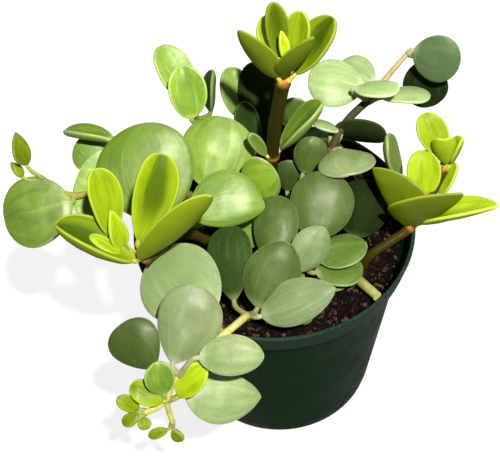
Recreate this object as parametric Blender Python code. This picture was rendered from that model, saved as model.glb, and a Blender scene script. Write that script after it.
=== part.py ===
"""Potted peperomia: thumb-thick leaves on arching stems in a plastic nursery pot.

The frame is in metres, +Z up. The origin is the centre of the pot's underside, and the
front of the plant, where the trailing stem hangs over the rim, looks along -Y.
Routes, tips and sizes below are in millimetres, and angles are in degrees.
"""

from dataclasses import dataclass
from math import cos, pi, radians, sin

import bmesh
import bpy
from mathutils import Vector

MM = 0.001
GAP = 0.3
SHARP_EDGE = radians(40)

# Pot
POT_HEIGHT = 85.0
RIM_RADIUS = 51.0
COLLAR_BOTTOM_RADIUS = 49.0
COLLAR_HEIGHT = 9.5
STEP_IN = 2.4
BODY_TOP_RADIUS = 46.6
BASE_RADIUS = 34.6
WALL = 1.3
FLOOR = 1.4
POT_SIDES = 36
FOOT_INSET = 1.6
FOOT_WIDTH = 2.6
FOOT_HEIGHT = 0.8
CENTRE_PAD_RADIUS = 9.0
LIP_EDGE = 0.3
DRAIN_HOLES = 6
DRAIN_HOLE_RADIUS = 3.2
DRAIN_HOLE_SIDES = 10
DRAIN_RING_RADIUS = 25.0

# Soil
SOIL_LEVEL = 77.0
SOIL_RELIEF = 1.1
SOIL_SIDES = 24
SOIL_RINGS = 4
HOLE_CLEARANCE = 0.35

# Blades, stalks and stems
BLADE_MIDDLE = 1.8
BLADE_RIM = 0.9
END_WIDTH = 0.16
SMALLEST_SHARE = 0.6
FULL_THICKNESS_WIDTH = 35.0
STALK_RADIUS = 0.85
STALK_STEP = 6.0
SHARP_BEND = 0.3
STEM_SIDES = 6
STALK_START = 0.4
TOP_STALK_SUNK = 1.4
STEM_STEP = 7.0


@dataclass(frozen=True)
class Leaf:
    """One leaf: its route point, where its blade starts and ends, and its shape."""

    node: int
    base: tuple
    tip: tuple
    width: float
    face: tuple
    fold: float = 16.0
    curl: float = 14.0


@dataclass(frozen=True)
class Shoot:
    """One length of stem with its leaves."""

    route: tuple
    radius: float
    tip_radius: float
    leaves: tuple


FRONT = (0, -0.64, 0.77)
UP = (0, 0, 1)

TALL = (
    Shoot(
        ((0, 14, 65), (0, 15, 88), (1, 16, 105), (3, 15, 124), (6, 14, 144)), 2.2, 2.5,
        (
            Leaf(4, (4, 13, 147), (-8, 19, 164), 15, (0.5, 0.85, 0.2), 40, 20),
            Leaf(4, (5, 17, 148), (0, 32, 158), 15, (0.3, -0.7, 0.6), 40, 20),
            Leaf(4, (6, 17, 150), (4, 28, 168), 14, (0.1, -0.8, 0.5), 45, 10),
            Leaf(4, (9, 18, 150), (12, 27, 165), 13, (-0.5, -0.7, 0.4), 50, 10),
            Leaf(4, (8, 15, 150), (10, 22, 167), 6, (-0.9, 0.0, 0.2), 40, 10),
            Leaf(4, (7, 11, 147), (16, 10, 167), 15, (-0.4, 0.8, 0.3), 45, 24),
            Leaf(4, (10, 15, 146), (25, 24, 162), 17, (-0.6, -0.4, 0.7), 50, 16),
            Leaf(2, (4, 16, 108), (20, 22, 124), 15, (-0.5, 0.2, 0.7), 55, 10),
            Leaf(2, (-2, 15, 107), (-8, 20, 116), 9, (0.3, -0.6, 0.7), 40, 10),
        )),
)

BACK = (
    Shoot(
        ((-8, 28, 65), (-8, 29, 82), (-7, 30, 92)), 1.8, 1.6,
        (
            Leaf(2, (-4, 31, 95), (-4, 48, 121), 26, (0.0, -0.7, 0.7)),
            Leaf(2, (-13, 35, 105), (-13, 50, 118), 18, (0.3, -0.6, 0.7), 24),
            Leaf(1, (-11, 33, 84), (-20, 48, 89), 17, (0.0, 0.1, 1.0)),
            Leaf(2, (-7, 31, 97), (-9, 36, 113), 12, (0.1, -0.8, 0.5), 30),
        )),
)

LEFT_ROSETTE = (
    Shoot(
        ((-23, 22, 65), (-25, 28, 90), (-25, 33, 110)), 1.9, 1.7,
        (
            Leaf(2, (-27, 35, 113), (-36, 50, 129), 19, (0.2, -0.5, 0.8), 35),
            Leaf(2, (-24, 31, 113), (-29, 40, 129), 17, (0.1, -0.6, 0.7), 40),
            Leaf(2, (-22, 34, 112), (-18, 42, 124), 16, (-0.9, -0.1, 0.4), 30),
            Leaf(2, (-25, 31, 113), (-26, 34, 120), 5, (0.0, -0.6, 0.7), 40),
        )),
)

LEFT_CROWN = (
    Shoot(
        ((-14, -8, 65), (-17, -9, 84), (-25, -13, 97), (-35, -20, 104), (-46, -27, 104)), 2.1, 2.3,
        (
            Leaf(4, (-46, -26, 110), (-35, -8, 136), 16, (0.1, -0.7, 0.7), 40),
            Leaf(4, (-53, -26, 110), (-60, -10, 132), 15, (0.4, -0.6, 0.7), 45),
            Leaf(4, (-51, -28, 105), (-76, -22, 119), 22, (0.3, -0.4, 0.9), 58, 20),
            Leaf(4, (-44, -30, 106), (-21, -28, 134), 19, (-0.4, 0.9, 0.3), 40, 20),
            Leaf(4, (-52, -26, 107), (-55, -18, 122), 8, (0.3, -0.5, 0.8), 50),
            Leaf(4, (-53, -27, 107), (-63, -23, 114), 5, (0.2, -0.3, 0.9), 40),
        )),
)

ROUND_LEAVES = (
    Shoot(
        ((-16, 4, 65), (-20, 3, 82), (-27, 0, 92), (-32, -3, 97)), 2.0, 1.8,
        (
            Leaf(3, (-34, -3, 100), (-56, 18, 120), 34, FRONT, 12),
            Leaf(3, (-29, -2, 103), (-3, -5, 103), 20, (0.0, -0.6, 0.8), 30),
            Leaf(2, (-23, 9, 97), (-15, 29, 113), 27, FRONT, 12),
            Leaf(2, (-13, 3, 101), (2, 8, 107), 19, (0.1, -0.85, 0.5)),
            Leaf(1, (-16, -1, 87), (1, -5, 90), 17, (0.0, -0.3, 0.9)),
            Leaf(1, (-25, 3, 84), (-40, 2, 85), 14, (-0.2, 0.1, 0.9)),
        )),
)

FAR_LEFT = (
    Shoot(
        ((-22, 12, 65), (-28, 14, 86), (-42, 12, 98),
         (-56, 9, 102), (-71, 6, 102), (-82, 12, 106)), 1.9, 1.0,
        (
            Leaf(4, (-73, 5, 102), (-96, 1, 96), 24, (0.0, -0.5, 0.85), 12),
            Leaf(3, (-58, 13, 97), (-73, 18, 104), 28, (-0.1, -0.4, 0.85), 12),
            Leaf(3, (-58, 18, 102), (-68, 28, 109), 19, (-0.2, -0.3, 0.9)),
            Leaf(3, (-56, 24, 113), (-73, 30, 112), 15, (0.0, 0.5, 0.85), 50),
            Leaf(5, (-88, 16, 111), (-92, 22, 120), 9, (0.5, -0.6, 0.6), 45),
            Leaf(5, (-84, 13, 107), (-92, 16, 111), 3, UP, 20),
        )),
)

FRONT_TRAILING = (
    Shoot(
        ((-11, -30, 65), (-12, -37, 81), (-14, -43, 87), (-20, -51, 90.5), (-28, -57, 88),
         (-36, -61, 83), (-41, -64, 73), (-40, -66, 60)), 1.6, 0.9,
        (
            Leaf(1, (-10, -37, 87), (3, -22, 102), 20, FRONT),
            Leaf(1, (-16, -34, 87), (-22, -17, 102), 20, (-0.2, -0.6, 0.75)),
            Leaf(1, (-7, -40, 86), (19, -38, 95), 18, (0.0, -0.5, 0.85), 20),
            Leaf(1, (-4, -41, 82), (11, -43, 83), 12, (0.0, -0.2, 1.0)),
            Leaf(3, (-26, -47, 92), (-44, -23, 98), 29, (-0.1, -0.4, 0.9)),
            Leaf(5, (-37, -60, 87), (-25, -40, 104), 22, (0.0, -0.7, 0.7)),
            Leaf(5, (-44, -58, 85), (-56, -48, 96), 19, (-0.3, -0.5, 0.8)),
            Leaf(5, (-31, -61, 84), (-6, -58, 88), 17, (0.0, -0.6, 0.8), 20),
            Leaf(6, (-35, -65, 72), (-9, -63, 65), 21, (0.0, -0.6, 0.8), 14),
            Leaf(6, (-42, -64, 77), (-43, -59, 89), 11, (0.1, -0.7, 0.7), 30),
            Leaf(6, (-38, -65, 76), (-27, -62, 87), 11, (-0.2, -0.7, 0.7), 30),
            Leaf(6, (-44, -65, 74), (-53, -62, 79), 9, (0.2, -0.6, 0.75), 30),
            Leaf(7, (-40, -67, 59), (-38, -69, 54), 5, (-0.3, -0.8, 0.3), 30),
            Leaf(7, (-42, -67, 59), (-49, -68, 57), 4, (0.0, -0.6, 0.75), 30),
        )),
    Shoot(
        ((-41, -64, 73), (-45, -65, 70), (-50, -66, 69)), 1.1, 1.0,
        (
            Leaf(2, (-51, -65, 70), (-58, -64, 76), 6, (0.3, -0.6, 0.7), 40),
            Leaf(2, (-51, -66, 69), (-57, -68, 66), 5, (0.2, -0.3, 0.9), 40),
            Leaf(2, (-50, -67, 68), (-49, -71, 66), 5, (0.0, 0.3, 0.9), 40),
        )),
)

CENTRE = (
    Shoot(
        ((7, -13, 65), (8, -17, 84)), 1.8, 1.6,
        (
            Leaf(1, (4, -15, 89), (3, 0, 100), 18, (-0.1, -0.6, 0.75)),
            Leaf(1, (12, -13, 90), (22, 6, 104), 23, (0.0, -0.6, 0.8), 10),
            Leaf(1, (13, -20, 88), (32, -18, 91), 17, (0.1, 0.0, 1.0)),
            Leaf(1, (8, -26, 88), (15, -14, 99), 16, (0.3, -0.6, 0.75)),
            Leaf(1, (13, -23, 85), (30, -21, 84), 16, (0.0, 0.1, 1.0)),
            Leaf(1, (10, -28, 82), (25, -26, 80), 12, UP),
        )),
)

RIGHT_BACK = (
    Shoot(
        ((20, 16, 65), (22, 19, 86), (23, 22, 99), (29, 29, 106), (38, 34, 112), (45, 40, 118)), 1.8, 0.9,
        (
            Leaf(2, (25, 20, 102), (29, 7, 106), 20, (0.0, 0.15, 1.0)),
            Leaf(2, (27, 24, 103), (44, 23, 102), 18, (0.0, 0.8, 0.45), 30),
            Leaf(2, (23, 25, 104), (15, 30, 106), 9, (0.0, 0.5, 0.8)),
            Leaf(4, (32, 36, 112), (16, 42, 115), 19, (0.0, -0.4, 0.9)),
            Leaf(4, (36, 38, 116), (28, 50, 119), 19, (0.0, -0.4, 0.9)),
            Leaf(4, (38, 34, 118), (52, 31, 120), 15, (0.0, 0.4, 0.9)),
            Leaf(4, (42, 34, 112), (60, 36, 110), 15, (0.0, 0.4, 0.9)),
            Leaf(5, (55, 48, 121), (71, 41, 118), 18, (-0.5, -0.7, 0.5), 10),
            Leaf(5, (56, 48, 114), (63, 44, 97), 15, (-0.2, -0.8, 0.3), 10),
        )),
)

RIGHT_CROWN = (
    Shoot(
        ((30, -15, 65), (32, -15, 80), (40, -12, 85), (48, -8, 88), (56, -1, 96), (62, 6, 103)), 1.9, 1.5,
        (
            Leaf(3, (46, -7, 91), (37, 0, 112), 20, (0.4, 0.9, 0.2), 40, 20),
            Leaf(3, (49, -11, 90), (63, -12, 110), 20, (-0.2, 0.95, 0.25), 40, 24),
            Leaf(3, (51, -8, 89), (79, -8, 98), 18, (-0.1, 0.5, 0.85), 30),
            Leaf(3, (53, -3, 96), (56, 9, 109), 13, (0.0, -0.7, 0.7), 35),
            Leaf(3, (46, 0, 94), (41, 14, 112), 10, (0.8, -0.2, 0.4), 45),
            Leaf(5, (62, 8, 106), (55, 18, 118), 12, (0.2, -0.6, 0.7), 35),
            Leaf(5, (62, 4, 105), (61, 7, 116), 12, (0.0, 0.6, 0.7), 50, 30),
            Leaf(5, (64, 7, 104), (68, 10, 114), 8, (-0.9, 0.0, 0.3), 50),
            Leaf(4, (59, 0, 95), (65, 8, 102), 8, (-0.5, -0.2, 0.8), 40),
        )),
)

BEHIND_CENTRE = (
    Shoot(
        ((12, 4, 65), (12, 5, 84)), 1.6, 1.4,
        (
            Leaf(1, (8, 17, 84), (8, 28, 95), 14, (0.0, -0.6, 0.8)),
            Leaf(1, (14, 11, 93), (18, 25, 104), 14, (0.1, -0.6, 0.8)),
            Leaf(1, (16, 4, 86), (31, 12, 85), 16, (0.0, -0.1, 1.0)),
            Leaf(1, (8, 4, 85), (-8, 5, 86), 13, (0.0, -0.2, 0.9)),
        )),
)

BACK_RIGHT = (
    Shoot(
        ((10, 34, 65), (10, 35, 84), (9, 33, 98)), 1.5, 1.3,
        (
            Leaf(2, (9, 31, 103), (11, 38, 116), 13, (0.0, -0.6, 0.75)),
            Leaf(2, (14, 36, 94), (27, 45, 89), 18, (0.1, 0.3, 0.9)),
            Leaf(1, (10, 42, 91), (6, 64, 81), 20, (0.0, 0.4, 0.9), 16, -30),
            Leaf(1, (14, 32, 84), (30, 30, 84), 16, (0.0, 0.0, 1.0)),
        )),
)

BACK_LEFT = (
    Shoot(
        ((-30, 22, 65), (-34, 27, 86), (-42, 34, 91), (-49, 41, 84), (-52, 45, 75)), 1.6, 1.2,
        (
            Leaf(2, (-40, 41, 87), (-36, 56, 73), 18, (0.0, 0.7, 0.7), 16, -20),
            Leaf(3, (-52, 37, 88), (-66, 40, 88), 18, (-0.2, 0.1, 0.9)),
            Leaf(4, (-54, 48, 72), (-58, 60, 56), 20, (-0.4, 0.7, 0.6)),
            Leaf(4, (-49, 49, 71), (-40, 62, 58), 18, (0.2, 0.8, 0.6)),
        )),
)

RIGHT_LOW = (
    Shoot(
        ((25, -3, 65), (26, -3, 80)), 1.5, 1.4,
        (
            Leaf(1, (28, -6, 84), (36, 8, 96), 21, (0.0, -0.6, 0.8), 12),
        )),
)

CUT_STUB = (Shoot(((24, -18, 70), (34, -31, 83)), 1.5, 1.3, ()),)

LIME = (0.42, 0.58, 0.06)
OLIVE = (0.22, 0.32, 0.06)
DARK = (0.10, 0.18, 0.04)
SILVER = (0.26, 0.36, 0.14)
STRAW = (0.50, 0.48, 0.22)

PLANT = {
    "stem_tall": (TALL, LIME),
    "stem_back": (BACK, DARK),
    "stem_left_rosette": (LEFT_ROSETTE, LIME),
    "stem_left_crown": (LEFT_CROWN, LIME),
    "stem_round_leaves": (ROUND_LEAVES, OLIVE),
    "stem_far_left": (FAR_LEFT, OLIVE),
    "stem_front_trailing": (FRONT_TRAILING, SILVER),
    "stem_centre": (CENTRE, DARK),
    "stem_right_back": (RIGHT_BACK, SILVER),
    "stem_right_crown": (RIGHT_CROWN, LIME),
    "stem_behind_centre": (BEHIND_CENTRE, OLIVE),
    "stem_back_right": (BACK_RIGHT, OLIVE),
    "stem_back_left": (BACK_LEFT, OLIVE),
    "stem_right_low": (RIGHT_LOW, DARK),
    "cut_stub": (CUT_STUB, STRAW),
}


def clear_scene():
    """Removes every object of the open scene."""
    for thing in list(bpy.data.objects):
        bpy.data.objects.remove(thing, do_unlink=True)


def material(name, colour, roughness, metallic=0.0):
    """Returns a plain Principled material of the given colour."""
    made = bpy.data.materials.new(name)
    made.use_nodes = True
    made.diffuse_color = (*colour, 1.0)
    shader = made.node_tree.nodes["Principled BSDF"]
    shader.inputs["Base Color"].default_value = (*colour, 1.0)
    shader.inputs["Roughness"].default_value = roughness
    shader.inputs["Metallic"].default_value = metallic
    return made


def shade(thing):
    """Shades an object's round faces smooth and keeps its edges sharp."""
    thing.data.shade_smooth()
    thing.data.set_sharp_from_angle(angle=SHARP_EDGE)


def solid(name, points, faces, finish=None):
    """Makes a closed mesh object from points in millimetres, faces turned outwards."""
    shape = bmesh.new()
    corners = [shape.verts.new(Vector(point) * MM) for point in points]
    for face in faces:
        shape.faces.new([corners[index] for index in face])
    bmesh.ops.recalc_face_normals(shape, faces=shape.faces)
    mesh = bpy.data.meshes.new(name)
    shape.to_mesh(mesh)
    shape.free()
    thing = bpy.data.objects.new(name, mesh)
    bpy.context.scene.collection.objects.link(thing)
    if finish:
        mesh.materials.append(finish)
    return thing


def turned(name, profile, sides, finish=None):
    """Turns a closed profile of (radius, height) points round the Z axis."""
    points = []
    faces = []
    rings = []
    for radius, height in profile:
        if radius < 1e-6:
            rings.append([len(points)])
            points.append((0.0, 0.0, height))
            continue
        rings.append(list(range(len(points), len(points) + sides)))
        for side in range(sides):
            angle = 2 * pi * side / sides
            points.append((radius * cos(angle), radius * sin(angle), height))
    for lower, upper in zip(rings, rings[1:] + rings[:1]):
        if len(lower) == 1 and len(upper) == 1:
            continue
        for side in range(sides):
            after = (side + 1) % sides
            ring = [lower[side % len(lower)], lower[after % len(lower)],
                    upper[after % len(upper)], upper[side % len(upper)]]
            faces.append(list(dict.fromkeys(ring)))
    return solid(name, points, faces, finish)


def smooth_route(route, step):
    """Returns points along a Catmull-Rom curve through the route, and the route's own indices."""
    knots = [Vector(point) for point in route]
    first = knots[0] * 2 - knots[1]
    last = knots[-1] * 2 - knots[-2]
    ends = [first] + knots + [last]
    points = []
    marks = []
    for index in range(len(knots) - 1):
        before, start, stop, after = ends[index:index + 4]
        count = max(2, round((stop - start).length / step))
        marks.append(len(points))
        for part in range(count):
            t = part / count
            points.append(0.5 * ((2 * start) + (stop - before) * t
                                 + (2 * before - 5 * start + 4 * stop - after) * t * t
                                 + (3 * start - before - 3 * stop + after) * t ** 3))
    marks.append(len(points))
    points.append(knots[-1])
    return points, marks


def tube(name, points, radii, sides):
    """Makes a closed tube of the given radii along points in millimetres."""
    corners = []
    faces = []
    tangent = (points[1] - points[0]).normalized()
    across = tangent.orthogonal().normalized()
    for index, point in enumerate(points):
        ahead = points[min(index + 1, len(points) - 1)]
        behind = points[max(index - 1, 0)]
        new_tangent = (ahead - behind).normalized()
        across = (across - new_tangent * across.dot(new_tangent)).normalized()
        other = new_tangent.cross(across)
        for side in range(sides):
            angle = 2 * pi * side / sides
            spoke = across * cos(angle) + other * sin(angle)
            corners.append(point + spoke * radii[index])
    for ring in range(len(points) - 1):
        for side in range(sides):
            after = (side + 1) % sides
            low = ring * sides
            high = low + sides
            faces.append((low + side, low + after, high + after))
            faces.append((low + side, high + after, high + side))
    faces.append(tuple(reversed(range(sides))))
    faces.append(tuple(range(len(corners) - sides, len(corners))))
    return solid(name, corners, faces)


def blade_frame(leaf):
    """Returns the blade's length, length axis, inner-face normal and side axis."""
    start = Vector(leaf.base)
    along = Vector(leaf.tip) - start
    length = along.length
    along.normalize()
    inner = Vector(leaf.face)
    inner = (inner - along * inner.dot(along)).normalized()
    return start, length, along, inner, inner.cross(along)


def half_width(leaf, s):
    """Returns the blade's half width at the share s of its length."""
    fullness = sin(pi * s ** 1.08) ** 0.6 if 0.0 < s < 1.0 else 0.0
    return leaf.width / 2 * max(fullness, END_WIDTH)


def blade_point(leaf, frame, s, t, lift):
    """Returns the point at length share s and side share t, lifted off the middle surface."""
    start, length, along, inner, side = frame
    curl = radians(leaf.curl)
    fold = radians(leaf.fold)
    lean = curl * (s - 0.5)
    chord = 2 * sin(curl / 2)
    forward = (sin(lean) + sin(curl / 2)) / chord
    rise = (cos(curl / 2) - cos(lean)) / chord
    upright = inner * cos(lean) - along * sin(lean)
    half = half_width(leaf, s)
    middle = start + (along * forward + inner * rise) * length
    across = side * (half * sin(fold * t) / fold) + upright * (half * (1 - cos(fold * t)) / fold)
    normal = upright * cos(fold * t) - side * sin(fold * t)
    return middle + across + normal * lift


def blade_ring(leaf, frame, s, columns, thin):
    """Returns the closed ring of points round the blade at the share s of its length."""
    ring = []
    for face_side in (1, -1):
        for column in range(columns + 1):
            t = (-1 + 2 * column / columns) * face_side
            edge = max(abs(t), (2 * s - 1) ** 3)
            thick = thin * (BLADE_MIDDLE + (BLADE_RIM - BLADE_MIDDLE) * edge)
            ring.append(blade_point(leaf, frame, s, t, face_side * thick / 2))
    return ring


def stalk_ring(centre, heading, spoke, radius, columns):
    """Returns a round ring with the same number and order of points as a blade ring."""
    upright = heading.cross(spoke)
    ring = []
    for index in range(2 * (columns + 1)):
        angle = pi - pi * (index + 0.5) / (columns + 1)
        ring.append(centre + (spoke * cos(angle) + upright * sin(angle)) * radius)
    return ring


def root_inside(shoot, points, mark, leaf):
    """Returns the point inside the stem that a leaf's stalk grows from."""
    run = (points[min(mark + 1, len(points) - 1)] - points[max(mark - 1, 0)]).normalized()
    share = mark / (len(points) - 1)
    radius = shoot.radius + (shoot.tip_radius - shoot.radius) * share
    away = Vector(leaf.base) - points[mark]
    away = (away - run * away.dot(run)).normalized()
    sunk = TOP_STALK_SUNK if mark == len(points) - 1 else 0.0
    return points[mark] + away * (radius * STALK_START) - run * sunk


def stalk_rings(leaf, frame, root, radius, columns):
    """Returns the rings of a stalk that leaves the stem and bends round into its blade."""
    start, length, along, inner, side = frame
    run = start - root
    pull = along * run.length
    bends = max(1, round(run.length / STALK_STEP))
    if run.dot(along) < run.length * SHARP_BEND:
        bends += 1
    ahead = along
    spoke = side
    rings = []
    for bend in range(bends, -1, -1):
        t = bend / (bends + 1)
        rise = t * t * (3 - 2 * t)
        centre = root + run * (rise + t * (1 - t) ** 2) - pull * (t * t * (1 - t))
        heading = run * (6 * t * (1 - t) + (1 - t) * (1 - 3 * t)) - pull * (t * (2 - 3 * t))
        spoke = ahead.rotation_difference(heading) @ spoke
        ahead = heading.normalized()
        rings.insert(0, stalk_ring(centre, ahead, spoke, radius, columns))
    return rings


def leaf_solid(name, leaf, root):
    """Makes one leaf, stalk and blade, as a closed solid that starts inside the stem."""
    frame = blade_frame(leaf)
    thin = min(1.0, SMALLEST_SHARE + leaf.width / FULL_THICKNESS_WIDTH)
    columns = 4 if leaf.fold >= 40 and leaf.width >= 18 else 2
    rows = 5 if leaf.width > 16 else 4 if leaf.width > 9 else 3
    rings = stalk_rings(leaf, frame, root, STALK_RADIUS * thin, columns)
    for row in range(rows + 1):
        rings.append(blade_ring(leaf, frame, 0.5 - 0.5 * cos(pi * row / rows), columns, thin))
    count = 2 * (columns + 1)
    points = [point for ring in rings for point in ring]
    faces = []
    for low in range(0, count * (len(rings) - 1), count):
        for index in range(count):
            after = (index + 1) % count
            a, b, c, d = low + index, low + after, low + count + after, low + count + index
            if index < columns:
                faces += [(a, b, c), (a, c, d)]
            else:
                faces += [(a, b, d), (b, c, d)]
    for low in (0, count * (len(rings) - 1)):
        for index in range(columns):
            faces.append((low + index, low + index + 1, low + count - 2 - index, low + count - 1 - index))
    return solid(name, points, faces)


def leafy_stem(name, shoots, finish):
    """Makes one leafy stem and fuses its stems, stalks and blades into one solid."""
    parts = []
    for number, shoot in enumerate(shoots):
        points, marks = smooth_route(shoot.route, STEM_STEP)
        last = len(points) - 1
        narrowing = shoot.tip_radius - shoot.radius
        radii = [shoot.radius + narrowing * index / last for index in range(last + 1)]
        parts.append(tube(f"{name}_axis_{number}", points, radii, STEM_SIDES))
        for count, leaf in enumerate(shoot.leaves):
            root = root_inside(shoot, points, marks[leaf.node], leaf)
            parts.append(leaf_solid(f"{name}_leaf_{number}_{count}", leaf, root))
    fuse(name, parts, finish)


def fuse(name, parts, finish):
    """Unites closed parts that run into each other into one object and removes the parts."""
    group = bpy.data.collections.new(name + "_parts")
    for part in parts[1:]:
        group.objects.link(part)
    body = parts[0]
    body.name = name
    union = body.modifiers.new("union", "BOOLEAN")
    union.operation = "UNION"
    union.operand_type = "COLLECTION"
    union.collection = group
    union.solver = "EXACT"
    mesh = bpy.data.meshes.new_from_object(body.evaluated_get(bpy.context.evaluated_depsgraph_get()))
    body.modifiers.remove(union)
    body.data = mesh
    for part in parts[1:]:
        bpy.data.objects.remove(part, do_unlink=True)
    bpy.data.collections.remove(group)
    body.data.materials.clear()
    body.data.materials.append(finish)
    shade(body)


def cut(body, cutters):
    """Cuts closed cutter objects out of a body and removes them."""
    group = bpy.data.collections.new(body.name + "_cutters")
    for cutter in cutters:
        group.objects.link(cutter)
    difference = body.modifiers.new("cut", "BOOLEAN")
    difference.operation = "DIFFERENCE"
    difference.operand_type = "COLLECTION"
    difference.collection = group
    mesh = bpy.data.meshes.new_from_object(body.evaluated_get(bpy.context.evaluated_depsgraph_get()))
    body.modifiers.remove(difference)
    body.data = mesh
    for cutter in cutters:
        bpy.data.objects.remove(cutter, do_unlink=True)
    bpy.data.collections.remove(group)


def wall_radius(height):
    """Returns the pot body's outer radius at a height below the collar."""
    share = height / (POT_HEIGHT - COLLAR_HEIGHT)
    return BASE_RADIUS + (BODY_TOP_RADIUS - BASE_RADIUS) * share


def nursery_pot(finish):
    """Makes the pot: a tapered body, a deeper collar with a thin lip, and a holed floor."""
    collar = POT_HEIGHT - COLLAR_HEIGHT
    shoulder = collar - STEP_IN
    foot = BASE_RADIUS - FOOT_INSET
    profile = [
        (0.0, 0.0),
        (CENTRE_PAD_RADIUS, 0.0),
        (CENTRE_PAD_RADIUS + FOOT_HEIGHT, FOOT_HEIGHT),
        (foot - FOOT_WIDTH - FOOT_HEIGHT, FOOT_HEIGHT),
        (foot - FOOT_WIDTH, 0.0),
        (foot, 0.0),
        (BASE_RADIUS - 0.4, 0.6),
        (wall_radius(2.2), 2.2),
        (wall_radius(shoulder), shoulder),
        (COLLAR_BOTTOM_RADIUS - 0.6, collar),
        (COLLAR_BOTTOM_RADIUS, collar + 0.8),
        (RIM_RADIUS - LIP_EDGE, POT_HEIGHT - 1.4),
        (RIM_RADIUS, POT_HEIGHT - 0.9),
        (RIM_RADIUS, POT_HEIGHT - LIP_EDGE),
        (RIM_RADIUS - LIP_EDGE, POT_HEIGHT),
        (RIM_RADIUS - WALL, POT_HEIGHT),
        (RIM_RADIUS - WALL - 0.2, POT_HEIGHT - 0.4),
        (COLLAR_BOTTOM_RADIUS - WALL, collar + 0.4),
        (wall_radius(shoulder) - WALL, shoulder),
        (wall_radius(FLOOR + FOOT_HEIGHT) - WALL, FLOOR + FOOT_HEIGHT),
        (0.0, FLOOR + FOOT_HEIGHT),
    ]
    pot = turned("pot", profile, POT_SIDES, finish)
    holes = []
    for number in range(DRAIN_HOLES):
        angle = 2 * pi * (number + 0.5) / DRAIN_HOLES
        middle = Vector((DRAIN_RING_RADIUS * cos(angle), DRAIN_RING_RADIUS * sin(angle), 0))
        ends = [middle - Vector((0, 0, FLOOR)), middle + Vector((0, 0, 4 * FLOOR))]
        holes.append(tube(f"drain_{number}", ends, [DRAIN_HOLE_RADIUS] * 2, DRAIN_HOLE_SIDES))
    cut(pot, holes)
    shade(pot)


def soil_height(x, y):
    """Returns the height of the soil's uneven top."""
    wave = sin(x * 0.21 + 0.6) * cos(y * 0.17 - 0.4) + 0.5 * sin(x * 0.43 - y * 0.37 + 1.9)
    return SOIL_LEVEL + SOIL_RELIEF * wave / 1.5


def root_hole(name, shoot):
    """Makes the cutter for the hole that a stem's foot stands in, down to just below the foot."""
    points, _ = smooth_route(shoot.route, STEM_STEP)
    above = next(index for index, point in enumerate(points) if point.z > SOIL_LEVEL + 2 * SOIL_RELIEF)
    points = points[:above + 1]
    points[0] = points[0] + (points[0] - points[1]).normalized() * GAP
    return tube(name, points, [shoot.radius + HOLE_CLEARANCE] * len(points), STEM_SIDES)


def soil_plug(finish):
    """Makes the soil that fills the pot, with a hole for each stem's foot."""
    bottom = FOOT_HEIGHT + FLOOR + GAP
    shoulder = POT_HEIGHT - COLLAR_HEIGHT - STEP_IN
    reach = wall_radius(shoulder) - WALL - GAP
    rings = [(wall_radius(bottom) - WALL - GAP, bottom), (reach, shoulder)]
    rings += [(reach * (1 - ring / SOIL_RINGS), None) for ring in range(SOIL_RINGS)]
    points = []
    for radius, height in rings:
        for side in range(SOIL_SIDES):
            x = radius * cos(2 * pi * side / SOIL_SIDES)
            y = radius * sin(2 * pi * side / SOIL_SIDES)
            points.append((x, y, soil_height(x, y) if height is None else height))
    top = len(points)
    points.append((0.0, 0.0, soil_height(0, 0)))
    points.append((0.0, 0.0, bottom))
    faces = []
    for low in range(0, top - SOIL_SIDES, SOIL_SIDES):
        high = low + SOIL_SIDES
        for side in range(SOIL_SIDES):
            after = (side + 1) % SOIL_SIDES
            faces.append((low + side, low + after, high + after))
            faces.append((low + side, high + after, high + side))
    for side in range(SOIL_SIDES):
        after = (side + 1) % SOIL_SIDES
        low = top - SOIL_SIDES
        faces.append((low + side, low + after, top))
        faces.append((after, side, top + 1))
    soil = solid("soil", points, faces, finish)
    cut(soil, [root_hole(name + "_hole", shoots[0]) for name, (shoots, _) in PLANT.items()])
    shade(soil)


def main():
    """Builds the whole potted plant."""
    clear_scene()
    nursery_pot(material("bottle green plastic", (0.008, 0.028, 0.012), 0.42))
    soil_plug(material("potting soil", (0.02, 0.012, 0.008), 0.95))
    for name, (shoots, colour) in PLANT.items():
        leafy_stem(name, shoots, material(name + " leaves", colour, 0.4))


main()
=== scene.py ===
"""Potted peperomia, dressed: waxy leaves on jointed stems in a bottle-green nursery pot.

The frame is in metres, +Z up. The origin is the centre of the pot's underside, and the
front of the plant looks along -Y. The tables of stems and leaves are in millimetres,
with angles in degrees, as they are in the part's own source.
"""

import logging
from dataclasses import dataclass
from enum import Enum
from math import cos, exp, pi, radians, sin
from random import Random
from typing import Optional, Union

import bpy
from mathutils import Matrix, Vector

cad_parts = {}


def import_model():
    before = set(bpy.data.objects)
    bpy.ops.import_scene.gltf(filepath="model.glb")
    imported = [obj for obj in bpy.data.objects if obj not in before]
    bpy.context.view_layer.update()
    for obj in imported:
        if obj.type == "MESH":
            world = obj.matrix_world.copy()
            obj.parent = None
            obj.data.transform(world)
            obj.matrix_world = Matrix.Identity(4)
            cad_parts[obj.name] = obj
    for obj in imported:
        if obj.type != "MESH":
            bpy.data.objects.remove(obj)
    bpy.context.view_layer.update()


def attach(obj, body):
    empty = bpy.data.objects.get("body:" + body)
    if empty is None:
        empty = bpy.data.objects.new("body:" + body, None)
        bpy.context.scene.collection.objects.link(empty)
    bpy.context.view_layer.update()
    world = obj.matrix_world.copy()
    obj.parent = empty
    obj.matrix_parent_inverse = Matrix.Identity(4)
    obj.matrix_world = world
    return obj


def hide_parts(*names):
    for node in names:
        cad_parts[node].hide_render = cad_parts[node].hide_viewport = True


LOG = logging.getLogger("peperomia")
MM = 0.001
Triple = tuple[float, float, float]
Span = tuple[float, float]
# Where a smooth step starts and ends, and its results there if they aren't 0 and 1
Band = tuple[float, ...]
Number = Union[float, "Field"]


# Node trees written as sums


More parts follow.
